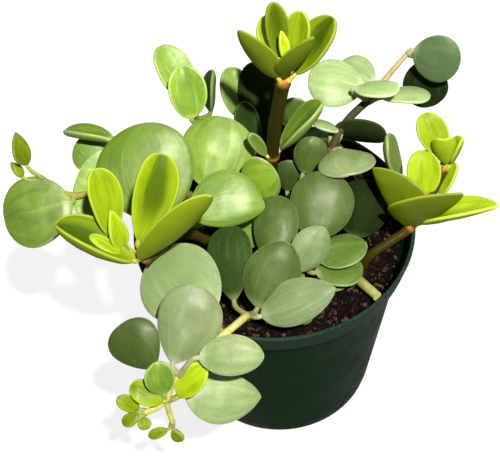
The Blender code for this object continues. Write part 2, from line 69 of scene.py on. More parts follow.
class Field:
    """A value inside a node tree, worked with Python's own operators."""

    def __init__(self, sheet: "NodeSheet", socket: bpy.types.NodeSocket) -> None:
        """Wraps an output socket of a sheet's tree."""
        self.sheet = sheet
        self.socket = socket

    @property
    def is_vector(self) -> bool:
        """Tells whether the value is a vector."""
        return self.socket.type in ("VECTOR", "RGBA")

    def _number(self, operation: str, *others: Number) -> "Field":
        """Adds a Math node with this value and up to two others."""
        inputs = dict(enumerate((self, *others)))
        return self.sheet.call("ShaderNodeMath", 0, inputs, operation=operation)

    def _vector(self, operation: str, other: Number) -> "Field":
        """Adds a Vector Math node with this value and another."""
        inputs = {0: self, "Scale" if operation == "SCALE" else 1: other}
        return self.sheet.call("ShaderNodeVectorMath", 0, inputs, operation=operation)

    def __add__(self, other: Number) -> "Field":
        """Returns the sum."""
        return self._vector("ADD", other) if self.is_vector else self._number("ADD", other)

    def __sub__(self, other: Number) -> "Field":
        """Returns the difference."""
        name = "SUBTRACT"
        return self._vector(name, other) if self.is_vector else self._number(name, other)

    def __rsub__(self, other: float) -> "Field":
        """Returns a plain number less this value."""
        return (self * -1.0)._number("ADD", other)

    def __mul__(self, other: Number) -> "Field":
        """Multiplies; a vector times a number is scaled.

        Args:
            other: The other factor.

        Returns:
            The product.
        """
        if self.is_vector:
            return self._vector("SCALE", other)
        if isinstance(other, Field) and other.is_vector:
            return other._vector("SCALE", self)
        return self._number("MULTIPLY", other)

    def __truediv__(self, other: Number) -> "Field":
        """Returns the quotient of two numbers."""
        return self._number("DIVIDE", other)

    def __pow__(self, other: Number) -> "Field":
        """Returns the power."""
        return self._number("POWER", other)

    def times_plus(self, factor: Number, added: Number) -> "Field":
        """Returns the number times a factor, plus another number."""
        return self._number("MULTIPLY_ADD", factor, added)

    def sine(self) -> "Field":
        """Returns the sine."""
        return self._number("SINE")

    def cosine(self) -> "Field":
        """Returns the cosine."""
        return self._number("COSINE")

    def root(self) -> "Field":
        """Returns the square root."""
        return self._number("SQRT")

    def size(self) -> "Field":
        """Returns the number without its sign."""
        return self._number("ABSOLUTE")

    def sign(self) -> "Field":
        """Returns the sign."""
        return self._number("SIGN")

    def least(self, other: Number) -> "Field":
        """Returns the smaller of two numbers."""
        return self._number("MINIMUM", other)

    def most(self, other: Number) -> "Field":
        """Returns the larger of two numbers."""
        return self._number("MAXIMUM", other)

    def floor(self) -> "Field":
        """Returns the whole number below."""
        return self._number("FLOOR")

    def modulo(self, other: Number) -> "Field":
        """Returns the rest after a division."""
        return self._number("MODULO", other)

    def step(self, band: Band) -> "Field":
        """Maps the number smoothly from one range to another.

        Args:
            band: Where the range starts and ends, and the results there.

        Returns:
            The mapped number.
        """
        low, high, out_low, out_high = (*band, 0.0, 1.0)[:4]
        inputs = {"Value": self, 1: low, 2: high, 3: out_low, 4: out_high}
        return self.sheet.call(
            "ShaderNodeMapRange", 0, inputs, interpolation_type="SMOOTHSTEP"
        )


class NodeSheet:
    """A node tree that is built line by line."""

    def __init__(self, tree: bpy.types.NodeTree) -> None:
        """Works on the given tree."""
        self.tree = tree

    def feed(self, node: bpy.types.Node, inputs: dict) -> None:
        """Links or sets a node's inputs.

        Args:
            node: The node.
            inputs: Socket names or indices, with a field or a plain value for each. A
                plain colour is taken as opaque.
        """
        for name, value in inputs.items():
            socket = node.inputs[name]
            if isinstance(value, Field):
                self.tree.links.new(value.socket, socket)
            elif isinstance(value, tuple):
                socket.default_value = (*value, 1.0)[:len(socket.default_value)]
            else:
                socket.default_value = value

    def call(self, kind: str, output: Union[int, str] = 0, inputs: Optional[dict] = None,
             **settings: object) -> Field:
        """Adds a node, feeds it and returns one of its outputs.

        Args:
            kind: The node's type.
            output: The output's index or name.
            inputs: Socket names or indices, with what goes into them.
            settings: Property names and values.

        Returns:
            The chosen output.
        """
        made = self.tree.nodes.new(kind)
        for name, value in settings.items():
            setattr(made, name, value)
        self.feed(made, inputs or {})
        return Field(self, made.outputs[output])

    def combine(self, x: Number, y: Number, z: Number) -> Field:
        """Returns a vector of three numbers."""
        return self.call("ShaderNodeCombineXYZ", 0, {"X": x, "Y": y, "Z": z})

    def part(self, vector: Field, axis: str) -> Field:
        """Returns a vector's number along X, Y or Z."""
        return self.call("ShaderNodeSeparateXYZ", axis, {"Vector": vector})

    def noise(self, vector: Field, scale: float, detail: float = 2.0,
              roughness: float = 0.5, output: str = "Fac") -> Field:
        """Reads a noise at a place, as a number or, from its Color output, a vector."""
        inputs = {"Vector": vector, "Scale": scale, "Detail": detail, "Roughness": roughness}
        return self.call("ShaderNodeTexNoise", output, inputs)


class GeometrySheet(NodeSheet):
    """A geometry node tree with named inputs."""

    def __init__(self, name: str) -> None:
        """Makes an empty tree with one geometry output.

        Args:
            name: The tree's name.
        """
        super().__init__(bpy.data.node_groups.new(name, "GeometryNodeTree"))
        self.entry = self.tree.nodes.new("NodeGroupInput")
        self.exit = self.tree.nodes.new("NodeGroupOutput")
        self.tree.interface.new_socket(
            "Geometry", in_out="OUTPUT", socket_type="NodeSocketGeometry"
        )
        self.names: dict[str, str] = {}

    def entry_socket(self, name: str, kind: str, default: object = None) -> Field:
        """Adds a named input to the tree.

        Args:
            name: The input's name.
            kind: Geometry, Float or Int.
            default: The input's default value, if it takes one.

        Returns:
            The input as a field.
        """
        made = self.tree.interface.new_socket(
            name, in_out="INPUT", socket_type="NodeSocket" + kind
        )
        if default is not None:
            made.default_value = default
        self.names[name] = made.identifier
        return Field(self, self.entry.outputs[name])

    def work(self, step: str, geometry: Field, **inputs: object) -> Field:
        """Passes geometry through the GeometryNode of a step's name."""
        return self.call("GeometryNode" + step, 0, {"Geometry": geometry, **inputs})

    def position(self) -> Field:
        """Returns where each point is."""
        return self.call("GeometryNodeInputPosition")

    def read(self, name: str, kind: str = "FLOAT") -> Field:
        """Reads a named attribute, which is a number unless another kind is given."""
        return self.call("GeometryNodeInputNamedAttribute", 0, {"Name": name}, data_type=kind)

    def store(self, geometry: Field, name: str, value: Field, kind: str = "FLOAT",
              domain: str = "POINT") -> Field:
        """Stores a value on geometry as a named attribute.

        Args:
            geometry: The geometry.
            name: The attribute's name.
            value: The value.
            kind: The attribute's data type.
            domain: What it is stored on.

        Returns:
            The geometry with the attribute.
        """
        inputs = {"Geometry": geometry, "Name": name, "Value": value}
        return self.call(
            "GeometryNodeStoreNamedAttribute", 0, inputs, data_type=kind, domain=domain
        )

    def compare(self, kind: str, operation: str, inputs: dict) -> Field:
        """Compares two numbers.

        Args:
            kind: Their data type.
            operation: The comparison.
            inputs: The numbers, by the node's sockets of that kind.

        Returns:
            Whether it holds.
        """
        return self.call(
            "FunctionNodeCompare", 0, inputs, data_type=kind, operation=operation
        )

    def unit_grid(self, columns: Number, rows: Number) -> Field:
        """Returns a flat grid, one metre square, with so many points along X and Y."""
        inputs = {"Size X": 1.0, "Size Y": 1.0, "Vertices X": columns, "Vertices Y": rows}
        return self.call("GeometryNodeMeshGrid", 0, inputs)

    def plant(self, points: Field, **inputs: Field) -> Field:
        """Sets an Instance on each point, with a Selection, Rotation or Scale if given."""
        return self.call("GeometryNodeInstanceOnPoints", 0, {"Points": points, **inputs})

    def join(self, *pieces: Field) -> Field:
        """Joins geometry.

        Args:
            pieces: The geometry to join.

        Returns:
            All of it.
        """
        node = self.tree.nodes.new("GeometryNodeJoinGeometry")
        for piece in pieces:
            self.feed(node, {0: piece})
        return Field(self, node.outputs[0])

    def finish(self, geometry: Field, materials: list[bpy.types.Material]) -> None:
        """Ends the tree: realizes instances, then sets each face's material.

        Args:
            geometry: The finished geometry.
            materials: The materials; the attribute named finish chooses among them.
        """
        geometry = self.work("RealizeInstances", geometry)
        for number, material in enumerate(materials):
            chosen = {}
            if len(materials) > 1:
                numbers = {2: self.read("finish", "INT"), 3: number}
                chosen["Selection"] = self.compare("INT", "EQUAL", numbers)
            geometry = self.work("SetMaterial", geometry, Material=material, **chosen)
        self.feed(self.exit, {0: geometry})

    def run(self, source: bpy.types.Object, name: str, **values: object) -> bpy.types.Object:
        """Runs the tree on an object and keeps the result as a plain mesh object.

        Args:
            source: The object that the tree starts from; it is removed.
            name: The new object's name.
            values: Values for the tree's inputs, with underscores for spaces.

        Returns:
            The new object.
        """
        modifier = source.modifiers.new(self.tree.name, "NODES")
        modifier.node_group = self.tree
        for key, value in values.items():
            modifier[self.names[key.replace("_", " ").capitalize()]] = value
        graph = bpy.context.evaluated_depsgraph_get()
        mesh = bpy.data.meshes.new_from_object(source.evaluated_get(graph))
        mesh.name = name
        source.modifiers.remove(modifier)
        bpy.data.objects.remove(source, do_unlink=True)
        return link_object(name, mesh)


def link_object(name: str, data: bpy.types.ID) -> bpy.types.Object:
    """Links a mesh, light or camera to the scene as one object at the origin.

    Args:
        name: The object's name.
        data: Its mesh, light or camera.

    Returns:
        The object.
    """
    thing = bpy.data.objects.new(name, data)
    bpy.context.scene.collection.objects.link(thing)
    return thing


# Finishes


class Inks(NodeSheet):
    """The nodes of one material or shader group."""

    def effect(self, group: bpy.types.NodeTree, inputs: dict) -> list[Field]:
        """Places a shared shader group.

        Args:
            group: The group.
            inputs: Its inputs.

        Returns:
            Its outputs, in their order.
        """
        node = self.tree.nodes.new("ShaderNodeGroup")
        node.node_tree = group
        self.feed(node, inputs)
        return [Field(self, socket) for socket in node.outputs]

    def blend(self, share: Number, first: object, second: object,
              mode: str = "MIX") -> Field:
        """Mixes a share of the second colour into the first."""
        inputs = {"Factor": share, 6: first, 7: second}
        return self.call("ShaderNodeMix", 2, inputs, data_type="RGBA", blend_type=mode)

    def layers(self, ground: object, *coats: tuple) -> Field:
        """Lays colours over a ground colour, one after another.

        Args:
            ground: The first colour.
            coats: The share and the colour of each further one.

        Returns:
            The last colour.
        """
        for share, colour in coats:
            ground = self.blend(share, ground, colour)
        return ground

    def drawn_out(self, vector: Field, length: float) -> Field:
        """Scales a place along Z, so that what is read there is drawn out upwards."""
        inputs = {"Vector": vector, "Scale": (1.0, 1.0, length)}
        return self.call("ShaderNodeMapping", 0, inputs)

    def bump(self, height: Field, strength: float, distance: float) -> Field:
        """Returns a normal for a height, at a strength and a distance in metres."""
        inputs = {"Height": height, "Strength": strength, "Distance": distance}
        return self.call("ShaderNodeBump", 0, inputs)

    def attribute(self, name: str, output: str = "Fac") -> Field:
        """Reads a named attribute of the piece."""
        return self.call("ShaderNodeAttribute", output, attribute_name=name)

    def place(self) -> Field:
        """Returns the Object coordinates."""
        return self.call("ShaderNodeTexCoord", "Object")


class Paint(Inks):
    """The nodes of one material round its Principled BSDF."""

    def __init__(self, name: str) -> None:
        """Starts an empty material.

        Args:
            name: The material's name.
        """
        self.material = bpy.data.materials.new(name)
        self.material.use_nodes = True
        super().__init__(self.material.node_tree)

    def cover(self, **inputs: object) -> bpy.types.Material:
        """Feeds the Principled BSDF.

        Args:
            inputs: Its inputs, with underscores for spaces.

        Returns:
            The material.
        """
        named = {name.replace("_", " "): value for name, value in inputs.items()}
        self.feed(self.tree.nodes["Principled BSDF"], named)
        return self.material


@dataclass
class EffectLibrary:
    """The shader groups that more than one finish uses, each built once.

    The veins run along a blade. Its sway bends them, and streaks and a ragged dark middle
    use the same swayed lines; that middle is partly the leaf's own darker colour and
    partly painted shade. The skin's broad and fine swellings are scales of noise.
    """

    sway_scale: float = 2.2
    sway: float = 0.16
    thread_length: float = 0.9
    thread_shift: float = 5.0
    thread_band: Band = (0.52, 0.70)
    vein_tip: Band = (0.98, 0.6)
    vein_side: Band = (0.97, 0.55, 0.25, 1.0)
    streak_length: float = 1.3
    streak_band: Band = (0.42, 0.62)
    heart_ragged: float = 1.3
    heart_side: Band = (1.45, 0.85)
    heart_foot: Band = (0.1, 0.5)
    dot_band: Band = (0.34, 0.12)
    cloud_scale: float = 95.0
    cloud_band: Band = (0.34, 0.66)
    broad_scale: float = 240.0
    fine_scale: float = 1500.0
    fine_share: float = 0.16

    def __post_init__(self) -> None:
        """Builds every group."""
        self.veins = self._veins()
        self.speckle = self._speckle()
        self.flesh = self._flesh()

    @staticmethod
    def _group(name: str, inputs: dict, outputs: tuple) -> tuple:
        """Makes an empty shader group.

        Args:
            name: The group's name.
            inputs: Input names with their default, which is a number, or None for a vector.
            outputs: Output names.

        Returns:
            The group's sheet, its inputs as fields, and its exit node.
        """
        tree = bpy.data.node_groups.new(name, "ShaderNodeTree")
        for label, default in inputs.items():
            kind = "NodeSocketVector" if default is None else "NodeSocketFloat"
            made = tree.interface.new_socket(label, in_out="INPUT", socket_type=kind)
            if default is not None:
                made.default_value = default
        for label in outputs:
            tree.interface.new_socket(label, in_out="OUTPUT", socket_type="NodeSocketFloat")
        ink, entry = Inks(tree), tree.nodes.new("NodeGroupInput")
        fields = [Field(ink, entry.outputs[label]) for label in inputs]
        return ink, fields, tree.nodes.new("NodeGroupOutput")

    def _veins(self) -> bpy.types.NodeTree:
        """Builds the lines that run along a blade and meet at its base and tip.

        Returns:
            The group.
        """
        ink, (across, along, lines, scale, seed), leave = self._group(
            "parallel veins",
            {"Across": 0.0, "Along": 0.0, "Lines": 6.0, "Streak scale": 2.6, "Seed": 0.0},
            ("Veins", "Streaks", "Heart and painted shade"),
        )
        sway = ink.noise(ink.combine(across, along, seed), self.sway_scale)
        swayed = sway.times_plus(self.sway, across)
        threads = ink.combine(
            swayed * lines, along * self.thread_length, seed + self.thread_shift
        )
        line = ink.noise(threads, 1.0, roughness=0.6).step(self.thread_band)
        veins = line * along.step(self.vein_tip) * across.size().step(self.vein_side)
        stretched = ink.combine(swayed * scale, along * self.streak_length, seed)
        streak = ink.noise(stretched, 1.0, detail=3.0, roughness=0.55)
        # The ragged dark middle: partly the leaf's own darker middle, and partly painted shade
        # cast on the blade.
        ragged = streak.times_plus(self.heart_ragged, across.size())
        heart = ragged.step(self.heart_side) * along.step(self.heart_foot)
        streaks = streak.step(self.streak_band)
        ink.feed(leave, {"Veins": veins, "Streaks": streaks, "Heart and painted shade": heart})
        return ink.tree

    def _speckle(self) -> bpy.types.NodeTree:
        """Builds the fine pale dots of a waxy skin.

        Returns:
            The group.
        """
        ink, (vector, scale), leave = self._group(
            "waxy speckle", {"Vector": None, "Scale": 2600.0}, ("Dots", "Cloud")
        )
        dots = ink.call("ShaderNodeTexVoronoi", 0, {"Vector": vector, "Scale": scale})
        cloud = ink.noise(vector, self.cloud_scale, detail=3.0, roughness=0.6)
        ink.feed(leave, {"Dots": dots.step(self.dot_band),
                         "Cloud": cloud.step(self.cloud_band)})
        return ink.tree

    def _flesh(self) -> bpy.types.NodeTree:
        """Builds the fine swellings of a fleshy skin, as a height.

        Returns:
            The group.
        """
        ink, (vector,), leave = self._group("fleshy skin", {"Vector": None}, ("Height",))
        broad = ink.noise(vector, self.broad_scale)
        fine = ink.noise(vector, self.fine_scale)
        ink.feed(leave, {"Height": fine.times_plus(self.fine_share, broad)})
        return ink.tree


@dataclass(frozen=True)
class LeafFinish:
    """How one age of leaf looks.

    The colours are those of the body, its dark and pale markings and its underside. The
    foot is the blade's base, where it isn't pale. The rim at the margin is partly the
    leaf's own pale edge and partly painted light, the glow of light through the thin
    edge. Margins are in millimetres.
    """

    name: str
    body: Triple
    deep: Triple
    pale: Triple
    under: Triple
    streaks: float = 0.0
    veins: float = 0.3
    speckle: float = 0.2
    frost: Triple = (0.66, 0.74, 0.50)
    cloud: float = 0.25
    rim_and_painted_light_width: float = 0.9
    rim_and_painted_light_inner: float = 0.15
    rim_and_painted_light_share: float = 0.75
    roughness: float = 0.5
    streak_scale: float = 2.6
    specular: float = 0.5
    coat: float = 0.08
    coat_roughness: float = 0.3
    sheen: Triple = (0.82, 1.0, 0.52)
    foot: Optional[Triple] = None
    foot_band: Band = (0.16, 0.0, 0.0, 0.55)
    under_band: Band = (0.35, -0.35, 0.0, 0.85)
    frost_band: Band = (4.0, 0.5)
    frost_inside: float = 0.6
    frost_margin: float = 1.5
    shade_band: Band = (0.0, 1.0, 0.0, 0.35)
    seed_spread: float = 37.0
    dot_scale: float = 3200.0
    speckle_roughness: float = 0.1
    vein_depth: float = -0.5
    bump: float = 0.45
    bump_distance: float = 0.0004
    glow: float = 0.12
    glow_colour: Triple = (0.5, 1.0, 0.2)
    glow_distance: float = 0.0016

    def build(self, effects: EffectLibrary) -> bpy.types.Material:
        """Makes the material.

        Args:
            effects: The shared shader groups.

        Returns:
            The material.
        """
        paint = Paint(self.name)
        paint.material.diffuse_color = (*self.body, 1.0)
        chart = paint.call("ShaderNodeUVMap", 0, uv_map="blade")
        across = paint.part(chart, "X").times_plus(2.0, -1.0)
        along = paint.part(chart, "Y")
        shade, margin = paint.attribute("shade"), paint.attribute("margin")
        place = paint.place()
        lines, streaks, heart = paint.effect(effects.veins, {
            "Across": across, "Along": along, "Seed": shade * self.seed_spread,
            "Streak scale": self.streak_scale,
        })
        dots, cloud = paint.effect(
            effects.speckle, {"Vector": place, "Scale": self.dot_scale}
        )
        (flesh,) = paint.effect(effects.flesh, {"Vector": place})
        frost = margin.step((*self.frost_band, self.frost_inside * self.speckle,
                             self.frost_margin * self.speckle))
        # The pale rim: partly the leaf's own pale edge, and partly painted light glowing
        # through the thin margin.
        rim = margin.step((self.rim_and_painted_light_width, self.rim_and_painted_light_inner, 0.0, self.rim_and_painted_light_share))
        colour = paint.layers(
            self.body,
            (shade.step(self.shade_band), self.deep),
            (cloud * self.cloud, self.deep),
            (streaks * self.streaks, self.deep),
            (lines * self.veins, self.pale),
            (dots * frost, self.frost),
            (paint.attribute("upper").step(self.under_band), self.under),
            # Partly painted shade: the dark middle also stands for shadow cast on the blade.
            (heart * paint.attribute("heart"), self.deep),
            (along.step(self.foot_band), self.foot or self.pale),
            (rim, self.pale),
        )
        rough = cloud.times_plus(self.speckle_roughness, self.roughness)
        height = lines.times_plus(self.vein_depth * self.veins, flesh)
        # Each leaf's tone multiplies its colour: partly its own tone, and partly painted light
        # and shade.
        return paint.cover(
            Base_Color=paint.blend(1.0, colour, paint.attribute("tone", "Color"), "MULTIPLY"),
            Roughness=dots.times_plus(self.speckle_roughness, rough),
            Normal=paint.bump(height, self.bump, self.bump_distance),
            Subsurface_Weight=self.glow, Subsurface_Radius=self.glow_colour,
            Subsurface_Scale=self.glow_distance, Specular_IOR_Level=self.specular,
            Specular_Tint=self.sheen, Coat_Weight=self.coat,
            Coat_Roughness=self.coat_roughness,
        )


@dataclass(frozen=True)
class StemFinish:
    """The skin of stems and leaf stalks, coloured point by point, with rusty collars
    and a painted highlight at each joint.
    """

    name: str = "stem skin"
    grain_colour: Triple = (0.05, 0.03, 0.012)
    grain_scale: float = 900.0
    grain_length: float = 0.3
    grain_band: Band = (0.35, 0.7, 0.0, 0.25)
    rust: Triple = (0.36, 0.13, 0.025)
    rust_band: Band = (0.25, 0.85, 0.0, 0.85)
    highlight: Triple = (0.75, 0.55, 0.2)
    highlight_band: Band = (0.9, 1.0, 0.0, 0.35)
    roughness_band: Band = (0.3, 0.7, 0.36, 0.55)
    collar_rise: float = 0.6
    specular: float = 0.1
    sheen: Triple = (1.0, 0.95, 0.6)
    bump: float = 0.3
    bump_distance: float = 0.0004
    glow: float = 0.1
    glow_distance: float = 0.0012

    def build(self) -> bpy.types.Material:
        """Makes the material.

        Returns:
            The material.
        """
        paint = Paint(self.name)
        drawn = paint.drawn_out(paint.place(), self.grain_length)
        grain = paint.noise(drawn, self.grain_scale, detail=3.0, roughness=0.6)
        collar = paint.attribute("collar")
        colour = paint.layers(
            paint.attribute("skin", "Color"),
            (grain.step(self.grain_band), self.grain_colour),
            (collar.step(self.rust_band), self.rust),
            (collar.step(self.highlight_band), self.highlight),
        )
        height = collar.times_plus(self.collar_rise, grain)
        return paint.cover(
            Base_Color=colour, Roughness=grain.step(self.roughness_band),
            Normal=paint.bump(height, self.bump, self.bump_distance),
            Specular_IOR_Level=self.specular, Specular_Tint=self.sheen,
            Subsurface_Weight=self.glow, Subsurface_Scale=self.glow_distance,
        )


@dataclass(frozen=True)
class PlasticFinish:
    """Bottle-green moulded plastic with a soft sheen, light scuffs, a dusty lip, and a
    collar band that is partly dust and partly painted sheen.
    """

    name: str = "bottle green plastic"
    body: Triple = (0.0008, 0.0160, 0.0036)
    worn: Triple = (0.0022, 0.0220, 0.0070)
    worn_scale: float = 55.0
    worn_band: Band = (0.4, 0.7, 0.0, 0.7)
    dust_and_sheen: Triple = (0.045, 0.080, 0.052)
    scuff_scale: float = 700.0
    scuff_length: float = 0.08
    scuff_band: Band = (0.62, 0.75, 0.0, 0.12)
    scuff_wear: Band = (0.55, 0.75)
    collar_heights: Band = (0.0750, 0.0765, 0.0, 0.3)
    collar_patches: Band = (0.25, 0.6, 0.6, 1.0)
    lip_heights: Band = (0.0835, 0.0849)
    speck_scale: float = 1400.0
    speck_band: Band = (0.52, 0.62, 0.0, 0.5)
    roughness_band: Band = (0.3, 0.7, 0.30, 0.48)
    scuff_roughness: float = 0.1
    grain_scale: float = 2600.0
    grain_share: float = 0.2
    ripple_scale: float = 120.0
    bump: float = 0.12
    bump_distance: float = 0.0003
    specular: float = 0.04
    sheen: Triple = (0.5, 1.0, 0.7)

    def build(self) -> bpy.types.Material:
        """Makes the material.

        Returns:
            The material.
        """
        paint = Paint(self.name)
        place = paint.place()
        height = paint.part(place, "Z")
        patches = paint.noise(place, self.worn_scale, detail=4.0, roughness=0.6)
        drawn = paint.drawn_out(place, self.scuff_length)
        scuffs = paint.noise(drawn, self.scuff_scale, detail=3.0, roughness=0.6)
        specks = paint.noise(place, self.speck_scale).step(self.speck_band)
        # A paler band round the collar: partly dust, and partly painted sheen where the collar
        # catches the light.
        collar = height.step(self.collar_heights) * patches.step(self.collar_patches)
        colour = paint.layers(
            self.body,
            (patches.step(self.worn_band), self.worn),
            (scuffs.step(self.scuff_band), self.dust_and_sheen),
            (collar, self.dust_and_sheen),
            (height.step(self.lip_heights) * specks, self.dust_and_sheen),
        )
        rough = patches.step(self.roughness_band)
        ripple = paint.noise(place, self.ripple_scale)
        relief = paint.noise(place, self.grain_scale).times_plus(self.grain_share, ripple)
        return paint.cover(
            Base_Color=colour,
            Roughness=scuffs.step(self.scuff_wear).times_plus(self.scuff_roughness, rough),
            Normal=paint.bump(relief, self.bump, self.bump_distance),
            Specular_IOR_Level=self.specular, Specular_Tint=self.sheen,
        )


@dataclass(frozen=True)
class SoilFinish:
    """Dark moist potting mix: fine peat with paler crumbs."""

    name: str
    dark: Triple
    light: Triple
    scale: float
    light_band: Band = (0.35, 0.72)
    roughness_band: Band = (0.3, 0.7, 0.92, 0.67)
    bump: float = 0.8
    bump_distance: float = 0.0006
    specular: float = 0.04

    def build(self) -> bpy.types.Material:
        """Makes the material.

        Returns:
            The material.
        """
        paint = Paint(self.name)
        grain = paint.noise(paint.place(), self.scale, detail=4.0, roughness=0.7)
        share = grain.step(self.light_band) * paint.attribute("crumb")
        return paint.cover(
            Base_Color=paint.blend(share, self.dark, self.light),
            Roughness=grain.step(self.roughness_band),
            Normal=paint.bump(grain, self.bump, self.bump_distance),
            Specular_IOR_Level=self.specular,
        )


# The bed is near black: partly the dark moist mix, and partly painted shade for the shade that
# fills the pot.
SOIL_FINISHES = (
    SoilFinish("soil bed", (0.003, 0.002, 0.0015), (0.016, 0.010, 0.007), 700.0),
    SoilFinish("soil crumbs", (0.004, 0.0026, 0.002), (0.26, 0.13, 0.10), 900.0),
)


class Age(Enum):
    """The ages and kinds of leaf on the plant, and leaves in painted shade; each has its
    own finish.
    """

    LIME = 0
    FRESH = 1
    MATURE = 2
    SILVER = 3
    # Painted shade: a darkened copy of the leaf finish, for leaves that lie in shadow.
    DARK = 4
    SLATE = 5


STEM_SLOT = len(Age)

LEAF_FINISHES = {
    # The lime underside colour is partly the leaf's own olive and partly painted shade,
    # darkened for outer faces that lie in shade.
    Age.LIME: LeafFinish(
        "young lime leaf", (0.38, 0.53, 0.005), (0.06, 0.12, 0.001), (0.56, 0.70, 0.08),
        (0.17, 0.23, 0.006), streaks=0.30, veins=0.08, speckle=0.04, cloud=0.15,
        rim_and_painted_light_width=0.6, rim_and_painted_light_share=0.5, roughness=0.52, glow=0.2, specular=0.2,
        foot=(0.42, 0.30, 0.02),
    ),
    Age.FRESH: LeafFinish(
        "fresh green leaf", (0.165, 0.285, 0.012), (0.05, 0.12, 0.002), (0.46, 0.60, 0.18),
        (0.20, 0.29, 0.05), streaks=0.45, veins=0.20, speckle=0.25, cloud=0.4,
        rim_and_painted_light_width=0.6, rim_and_painted_light_share=0.4, roughness=0.44, specular=0.65,
        sheen=(0.95, 1.0, 0.72),
    ),
    Age.MATURE: LeafFinish(
        "mature grey-green leaf", (0.082, 0.146, 0.020), (0.035, 0.07, 0.004),
        (0.36, 0.46, 0.20), (0.17, 0.24, 0.06), streaks=0.35, veins=0.09, speckle=0.20,
        cloud=0.4, rim_and_painted_light_width=0.7, rim_and_painted_light_share=0.45, roughness=0.46, specular=0.32,
        sheen=(0.90, 1.0, 0.65),
    ),
    Age.SILVER: LeafFinish(
        "silvery leaf", (0.28, 0.39, 0.135), (0.13, 0.21, 0.06), (0.66, 0.75, 0.46),
        (0.40, 0.50, 0.24), streaks=0.35, veins=0.14, speckle=0.50, cloud=0.45,
        rim_and_painted_light_width=0.6, rim_and_painted_light_share=0.4, roughness=0.5, specular=0.55,
        frost=(0.80, 0.84, 0.70), sheen=(1.0, 1.0, 0.95),
    ),
    # Painted shade: a darkened leaf finish for leaves that lie in shadow, with little gloss.
    Age.DARK: LeafFinish(
        "leaf darkened as painted shade", (0.022, 0.048, 0.007), (0.008, 0.020, 0.002), (0.20, 0.29, 0.08),
        (0.045, 0.075, 0.02), streaks=0.3, veins=0.10, speckle=0.10, cloud=0.35,
        rim_and_painted_light_width=0.5, rim_and_painted_light_share=0.35, roughness=0.5, glow=0.04, specular=0.05, coat=0.0,
    ),
    Age.SLATE: LeafFinish(
        "slate green leaf", (0.10, 0.165, 0.065), (0.05, 0.10, 0.035), (0.40, 0.50, 0.30),
        (0.12, 0.18, 0.08), streaks=0.3, veins=0.12, speckle=0.12, cloud=0.35,
        rim_and_painted_light_width=0.5, rim_and_painted_light_share=0.4, roughness=0.46, specular=0.35,
    ),
}


# The plant's own plan


@dataclass(frozen=True)
class Leaf:
    """One leaf: where it grows, where its blade starts and ends, and its shape.

    node counts the points of the stem's route, and face is where the inner side looks.
    base_taper and tip_taper give the outline: 0.5 for both is an ellipse, and a larger
    value draws that end out to a point. skew widens one half of the blade and narrows
    the other. roll lifts the margin towards the inner face. tone scales the colour:
    partly the leaf's own tone, and partly painted light and shade, brighter where a leaf
    lies lit and darker where it lies in shade. heart darkens the middle: partly the
    leaf's own darker middle, and partly painted shade where other leaves shadow the
    blade. A negative fold or curl makes a dome, a positive one a cup.
    """

    node: int
    base: Triple
    tip: Triple
    width: float
    face: Triple
    fold: float = -12.0
    curl: float = -14.0
    age: Optional[Age] = None
    base_taper: float = 0.62
    tip_taper: float = 0.5
    skew: float = 0.0
    roll: float = 0.2
    tone: float = 1.0
    heart: float = 0.0


@dataclass(frozen=True)
class Bark:
    """The colours of one stem: at its foot, at its top and at its leaf stalks."""

    foot: Triple
    top: Triple
    stalk: Triple
    collar: float = 1.0


@dataclass(frozen=True)
class Shoot:
    """One length of stem with its leaves: its route, and its radius at foot and tip."""

    route: tuple
    radius: float
    tip_radius: float
    bark: Bark
    age: Age
    leaves: tuple


RUSSET = Bark((0.020, 0.020, 0.001), (0.038, 0.034, 0.002), (0.85, 0.60, 0.10))
BROWN = Bark((0.026, 0.022, 0.003), (0.060, 0.042, 0.005), (0.40, 0.34, 0.05))
SPROUT = Bark((0.04, 0.045, 0.012), (0.34, 0.36, 0.08), (0.22, 0.25, 0.06), 0.2)
OLIVE = Bark((0.04, 0.045, 0.012), (0.10, 0.11, 0.03), (0.22, 0.25, 0.06), 0.5)
DUSKY = Bark((0.025, 0.030, 0.010), (0.07, 0.065, 0.025), (0.35, 0.33, 0.12), 0.8)
TAN = Bark((0.10, 0.06, 0.02), (0.20, 0.14, 0.05), (0.20, 0.13, 0.05), 0.6)
HONEY = Bark((0.42, 0.32, 0.13), (0.50, 0.42, 0.20), (0.45, 0.40, 0.20), 0.3)
CUT = Bark((0.20, 0.13, 0.05), (0.46, 0.50, 0.16), (0.4, 0.4, 0.2))
STRAW = Bark((0.60, 0.56, 0.22), (0.58, 0.62, 0.12), (0.28, 0.26, 0.11), 0.3)

FRONT = (0, -0.64, 0.77)
UP = (0, 0, 1)

